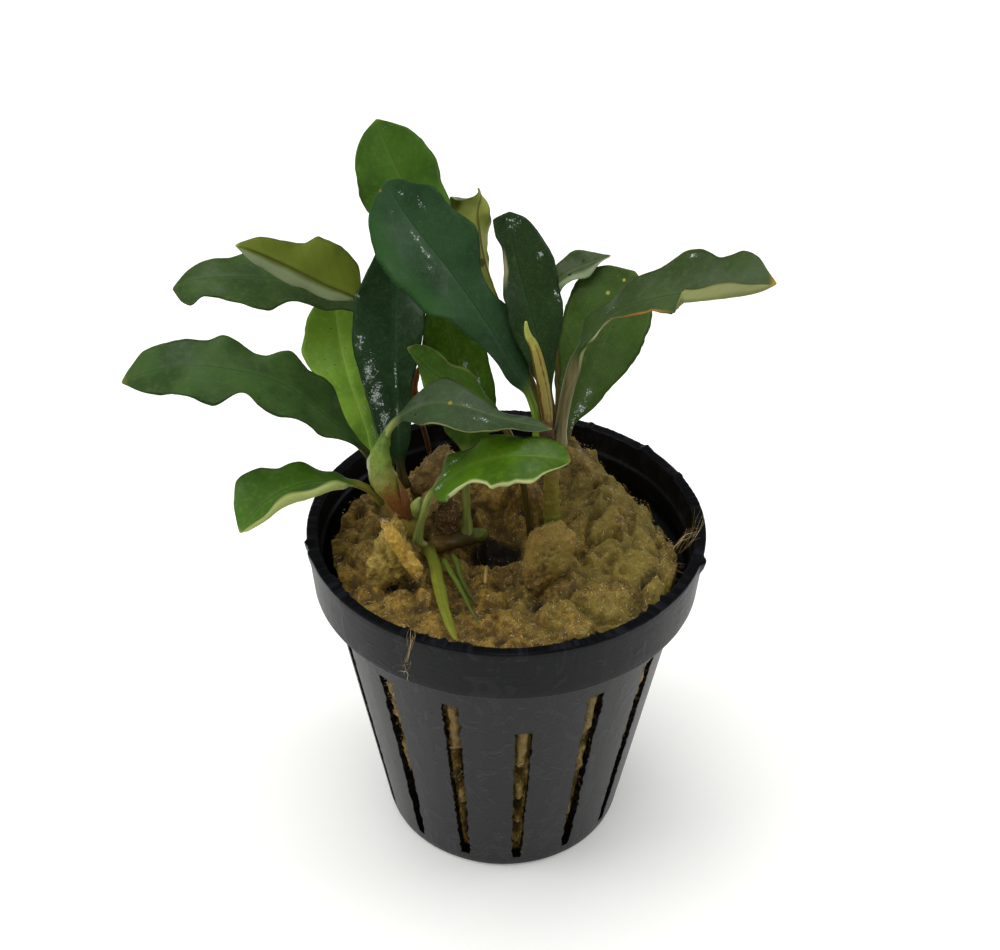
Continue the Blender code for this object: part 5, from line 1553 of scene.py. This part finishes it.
def pot_material():
    """Black polypropylene. Faint upright streaks, dull smears, fine scratches round the collar and specks of
    brown residue grey the shine."""
    material, tree, shader = new_material("black_polypropylene", IOR=1.49)
    place = attribute(tree, "pot_place")
    height = parts_of(tree, place)[1]
    hoops = streaks(tree, place, (0.05, 7.0, 1.0), 5.0, 0.65)
    upright = streaks(tree, place, (0.7, 0.06, 1.0), 4.0)
    smears = streaks(tree, place, (0.10, 0.16, 1.0), 6.0, 0.62, 1.5)
    specks = noise_of(tree, object_space(tree), 0.5, 6.0, 0.7)
    collar = ease(tree, height, SHOULDER - 0.6, SHOULDER + 0.4)
    haze = ease(tree, upright, 0.45, 0.70, 0.0, 0.35)
    colour = blend(tree, haze, linear("#07080b"), linear("#121318"))
    smear = ease(tree, smears, 0.53, 0.60, 0.0, 0.55)
    colour = blend(tree, smear, colour, linear("#1c1d22"))
    scratch = times(tree, ease(tree, hoops, 0.52, 0.66, 0.0, 0.5), collar)
    colour = blend(tree, scratch, colour, linear("#222327"))
    dirt = ease(tree, specks, 0.62, 0.74, 0.0, 0.55)
    colour = blend(tree, dirt, colour, linear("#3a2f1c"))
    brow = ease(tree, height, POT_HEIGHT - 0.35, POT_HEIGHT - 0.1, 0.22, 0.05)
    shine = times(tree, brow, ramp(tree, collar, 0.0, 1.0, 1.0, 0.55))
    dull = ramp(tree, larger(tree, scratch, dirt), 0.0, 0.6, 0.34, 0.6)
    relief = times_plus(tree, hoops, 0.6, specks)
    relief = times_plus(tree, smear, 1.6, relief)
    feed(shader, Base_Color=colour, Specular_IOR_Level=shine, Roughness=dull,
         Normal=bump_of(tree, relief, 0.40, 0.10))
    return material


# Slot, colours (dark, brown, gold, olive) and fuzz of the torn lumps, the first three of which are packed
SHRED_LOOKS = {
    "wool_flake": ("yellow_rock_wool", ("#8a6418", "#b48c28", "#d8b44c", "#b89a3c"), 0.11),
    "wool_lump": ("wet_rock_wool", ("#3c2e14", "#86692c", "#a5843a", "#8f7c32"), 0.09),
    "wool_shred": ("wet_rock_wool", ("#2c2010", "#8a7040", "#a88a54", "#7f7440"), 0.07),
    "wool_flake_felt": ("wet_rock_wool", ("#5c4a1c", "#937a30", "#bca24c", "#8f8236"), 0.13),
    "wool_scrap_pale": ("wet_rock_wool", ("#4a3a1c", "#9a8048", "#b89a60", "#8f8248"), 0.08),
    # Its colours are darkened as painted shade, for lying by the hollow
    "wool_scrap_orange": ("wet_rock_wool", ("#20140a", "#4c3416", "#5f421c", "#463a1a"), 0.06),
}
PACKED_SHREDS = ("wool_flake", "wool_lump", "wool_shred")

# The slot of each leaf's finish, where it isn't dark_leaf
SLOTS = {
    "left_leaf_light": "bright_leaf", "mid_leaf_bright": "bright_leaf", "left_leaf_olive": "olive_leaf",
    "right_leaf_pale": "olive_leaf", "left_leaf_low": "mid_leaf", "mid_leaf_small": "mid_leaf",
    "mid_leaf_broad": "mid_leaf", "right_leaf_back": "mid_leaf", "right_leaf_broad": "mid_leaf",
    "withered_leaf": "withered_leaf", "thick_root": "root",
}

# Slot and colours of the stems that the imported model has
STEM_COLOURS = {
    "rhizome": ("stem", ((0.0, "#6a5424"), (0.35, "#4c3a16"), (0.7, "#423814"), (1.0, "#5f6e24"))),
    "left_shoot": ("stem", ((0.0, "#746a26"), (0.4, "#8c7a34"), (0.7, "#96703a"), (1.0, "#8c5a30"))),
    "right_stem": ("stem", ((0.0, "#748a30"), (0.3, "#756e2a"), (0.6, "#7f7030"), (1.0, "#4a3414"))),
    "thin_root": ("root", ((0.0, "#556a1c"), (0.5, "#4a5618"), (1.0, "#42401a"))),
}

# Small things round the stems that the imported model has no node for: slot, form and colours
BITS = {
    "thin_root_branch": (
        "root",
        Tube(((-7.9, -8.0, 48.0), (-6.9, -10.8, 48.2), (-5.4, -14.2, 47.9), (-4.4, -16.8, 47.6),
              (-3.2, -19.2, 47.1)), (0.34, 0.32, 0.26, 0.2, 0.08)),
        ((0.0, "#566c1c"), (1.0, "#465418"))),
    "straw": (
        "wet_rock_wool",
        Tube(((-2.4, -8.7, 47.4), (-2.5, -10.4, 48.4), (-2.6, -12.4, 47.8)), (0.2, 0.24, 0.16)),
        ((0.0, "#8a7038"), (1.0, "#a58a4c"))),
    "left_funnel": (
        "stem",
        Tube(((-12.6, -2.2, 50.2), (-14.2, -2.3, 53.2), (-15.6, -2.2, 56.4), (-16.1, -2.0, 58.9),
              (-15.6, -1.9, 61.2), (-14.8, -1.9, 63.6)), (0.8, 1.15, 1.6, 1.5, 0.9, 0.42)),
        ((-0.1, "#74401f"), (0.25, "#8f5f30"), (0.5, "#878a3e"), (0.75, "#77903c"), (1.0, "#567030"))),
    "left_sheath": (
        "stem",
        Tube(((-12.4, -3.0, 50.6), (-12.9, -3.1, 53.6), (-13.9, -2.7, 57.2)), (0.55, 0.5, 0.1)),
        ((0.0, "#6f4526"), (0.5, "#7d4f2a"), (1.0, "#6f5a24"))),
    "left_bract": (
        "stem",
        Tube(((-11.0, -5.0, 52.0), (-11.3, -5.2, 54.2), (-10.8, -5.4, 55.8)), (0.35, 0.75, 0.2)),
        ((0.0, "#66762c"), (1.0, "#87944a"))),
    "rolled_leaf_sheath": (
        "stem",
        Tube(((5.0, -1.3, 61.0), (4.9, -1.5, 63.6), (4.8, -1.5, 66.2)), (1.05, 0.9, 0.3)),
        ((0.0, "#5a4a20"), (0.45, "#3a2510"), (1.0, "#6f5226"))),
}

# Lamps as (place, side of the panel, power) in metres and watts, and the rest of the stage
LAMPS = {
    "overhead_panel": ((-0.10, 0.05, 0.75), 0.60, 3.8),
    "left_panel": ((-0.55, -0.10, 0.35), 0.35, 1.0),
    "right_panel": ((0.55, 0.10, 0.35), 0.35, 0.8),
}
LAMP_TARGET = (0.0, 0.0, 0.05)
FLOOR_SIZE = 6.0
PAPER_COLOUR = "#fbfbf8"
PAPER_GLOW = 0.16
ROOM_LIGHT = 0.44
SENSOR_WIDTH_MM = 36.0


class PlantSettings(bpy.types.PropertyGroup):
    """Sizes that a user may change before the pieces are made."""
    frill_scale: FloatProperty(name="Leaf frill", description="Scale of the ripple in the leaves' margins",
                               default=1.0, min=0.0, max=3.0)
    fibre_count: IntProperty(name="Top fibres", description="Loose fibres on the rock wool's top",
                             default=9500, min=100, max=12000)
    slot_fibre_count: IntProperty(name="Slot fibres", description="Fibres that stick out of the pot's slots",
                                  default=1500, min=50, max=6000)
    fibre_seed: IntProperty(name="Fibre seed", description="Seed of the fibres' places", default=4)
    lens: FloatProperty(name="Lens", description="Focal length of the camera", default=54.0, unit="CAMERA")
    camera_distance: FloatProperty(name="Camera distance", description="From the camera to its target",
                                   default=0.1916, unit="LENGTH")
    camera_elevation: FloatProperty(name="Camera elevation", description="Angle above the horizon",
                                    default=math.radians(35.7), subtype="ANGLE")
    camera_roll: FloatProperty(name="Camera roll", description="Turn about the line of sight",
                               default=math.radians(0.58), subtype="ANGLE")
    camera_target: FloatVectorProperty(name="Camera target", description="Point that the camera looks at",
                                       default=(-0.0009, 0.0, 0.0555), subtype="TRANSLATION", size=3)


class PLANT_OT_pot(bpy.types.Operator):
    """Make the slotted net pot"""
    bl_idname = "plant.pot"
    bl_label = "Net pot"

    def execute(self, context):
        pot = build_pot_skin()
        cut_slots(pot, build_slot_cutters())
        settle(pot, "black_plastic", pot_material(), "pot")
        return {"FINISHED"}


class PLANT_OT_wool(bpy.types.Operator):
    """Make the rock wool plug with its torn lumps"""
    bl_idname = "plant.wool"
    bl_label = "Rock wool"

    def execute(self, context):
        wet = wool_material("wet_rock_wool_felt", ("#120c05", "#69501c", "#9c7b27", "#8a7b30"))
        settle(build_wool(), "wet_rock_wool", wet, "rock_wool")
        for k, (name, (slot, shades, fuzz)) in enumerate(SHRED_LOOKS.items()):
            piece = build_shred(name + "_fine", SHREDS[name], 20 + k, fuzz)
            nodes = (name,) if name in PACKED_SHREDS else ()
            settle(piece, slot, wool_material(name + "_felt", shades, glint=0.4, sparkle=0.6), *nodes)
        return {"FINISHED"}


class PLANT_OT_fibres(bpy.types.Operator):
    """Make the loose mineral fibres"""
    bl_idname = "plant.fibres"
    bl_label = "Wool fibres"

    def execute(self, context):
        settings = context.scene.plant
        seed = settings.fibre_seed
        torn = [bpy.data.objects[name + "_fine"] for name in SHREDS]
        # The palest, near-white tone is painted glint, so that the finest wet fibres sparkle
        glassy = fibre_material("mineral_fibre", ("#7a5c24", "#8f6e2c", "#a5823a", "#c4a65c", "#f2e2b4"))
        settle(build_wool_strands(seed, settings.fibre_count), "wet_rock_wool", glassy)
        settle(build_slot_strands(seed + 1, settings.slot_fibre_count), "wet_rock_wool", glassy)
        settle(build_tufts(seed + 2), "wet_rock_wool", glassy)
        settle(build_felt_strands(torn, seed + 3, FIBRES_ON_A_LUMP), "wet_rock_wool", glassy)
        return {"FINISHED"}


class PLANT_OT_leaves(bpy.types.Operator):
    """Make every leaf and the thick root"""
    bl_idname = "plant.leaves"
    bl_label = "Leaves"

    def execute(self, context):
        for k, (name, leaf) in enumerate(LEAVES.items()):
            look = LOOKS[name]
            piece = build_leaf(name + "_fine", leaf, k + 1.0, look.frill * context.scene.plant.frill_scale)
            settle(piece, SLOTS.get(name, "dark_leaf"), leaf_material(name, leaf, look), name)
        return {"FINISHED"}


class PLANT_OT_stems(bpy.types.Operator):
    """Make the rhizome, the shoots, the thin root and the rolled young leaf"""
    bl_idname = "plant.stems"
    bl_label = "Stems and roots"

    def execute(self, context):
        for k, (name, (slot, colours)) in enumerate(STEM_COLOURS.items()):
            rings = LEAF_SCAR_SPACING if name == "right_stem" else 0.0
            piece = build_tube(name + "_fine", TUBES[name], 30 + k, rows=70, lumps=0.12, rings=rings)
            settle(piece, slot, stem_material(name + "_bark", colours), name)
        for k, (name, (slot, tube, colours)) in enumerate(BITS.items()):
            piece = build_tube(name + "_fine", tube, 50 + k, rows=48, lumps=0.25)
            settle(piece, slot, stem_material(name + "_bark", colours, wet=0.5))
        roll = build_rolled_leaf("rolled_leaf_fine", TUBES["rolled_leaf"], 40)
        shades = ((0.0, "#4a3814"), (0.25, "#85783a"), (0.75, "#93883c"), (1.0, "#a8b050"))
        skin = stem_material("young_leaf_skin", shades, wet=0.4, scars=0.1, seam="#54300f")
        settle(roll, "new_leaf", skin, "rolled_leaf")
        return {"FINISHED"}


class PLANT_OT_stage(bpy.types.Operator):
    """Set the floor, the soft lights and the camera"""
    bl_idname = "plant.stage"
    bl_label = "Stage"

    def execute(self, context):
        settings = context.scene.plant
        bpy.ops.object.select_all(action="DESELECT")
        bpy.ops.mesh.primitive_plane_add(size=FLOOR_SIZE, location=(0, 0, 0))
        floor = context.active_object
        floor.name = "floor"
        paper, _, _ = new_material("white_paper", Base_Color=linear(PAPER_COLOUR), Roughness=0.9,
                                   Emission_Color=linear(PAPER_COLOUR), Emission_Strength=PAPER_GLOW)
        floor.data.materials.append(paper)
        world = bpy.data.worlds.new("soft_room")
        world.use_nodes = True
        backdrop = world.node_tree.nodes["Background"]
        backdrop.inputs["Color"].default_value = linear("#ffffff")
        backdrop.inputs["Strength"].default_value = ROOM_LIGHT
        context.scene.world = world
        for name, (place, size, power) in LAMPS.items():
            data = bpy.data.lights.new(name, "AREA")
            data.shape = "SQUARE"
            data.size = size
            data.energy = power
            lamp = bpy.data.objects.new(name, data)
            lamp.location = place
            facing = (Vector(place) - Vector(LAMP_TARGET)).to_track_quat("Z", "Y")
            lamp.rotation_euler = facing.to_euler()
            context.scene.collection.objects.link(lamp)
        view = bpy.data.cameras.new("photo_camera")
        view.lens = settings.lens
        view.sensor_width = SENSOR_WIDTH_MM
        view.clip_start = 0.001
        camera = bpy.data.objects.new("photo_camera", view)
        back = Vector((0.0, -math.cos(settings.camera_elevation), math.sin(settings.camera_elevation)))
        camera.location = Vector(settings.camera_target) + back * settings.camera_distance
        level = back.to_track_quat("Z", "Y").to_matrix().to_4x4()
        camera.rotation_euler = (Matrix.Rotation(settings.camera_roll, 4, back) @ level).to_euler()
        context.scene.collection.objects.link(camera)
        context.scene.camera = camera
        context.scene.view_settings.view_transform = "Standard"
        return {"FINISHED"}


OPERATORS = (PLANT_OT_pot, PLANT_OT_wool, PLANT_OT_fibres, PLANT_OT_leaves, PLANT_OT_stems, PLANT_OT_stage)


class PLANT_PT_panel(bpy.types.Panel):
    """The plant's steps and settings"""
    bl_label = "Plant"
    bl_idname = "PLANT_PT_panel"
    bl_space_type = "VIEW_3D"
    bl_region_type = "UI"
    bl_category = "Plant"

    def draw(self, context):
        for operator in OPERATORS:
            self.layout.operator(operator.bl_idname)
        for name in PlantSettings.__annotations__:
            self.layout.prop(context.scene.plant, name)


def register():
    """Add the classes and the scene's settings."""
    for kind in (PlantSettings, *OPERATORS, PLANT_PT_panel):
        bpy.utils.register_class(kind)
    bpy.types.Scene.plant = PointerProperty(type=PlantSettings)


def unregister():
    """Remove the classes and the scene's settings."""
    del bpy.types.Scene.plant
    for kind in reversed((PlantSettings, *OPERATORS, PLANT_PT_panel)):
        bpy.utils.unregister_class(kind)


def main():
    """Make every piece in order."""
    register()
    bpy.ops.plant.stage()
    bpy.ops.plant.pot()
    bpy.ops.plant.wool()
    bpy.ops.plant.fibres()
    bpy.ops.plant.leaves()
    bpy.ops.plant.stems()


if __name__ == "__main__":
    main()
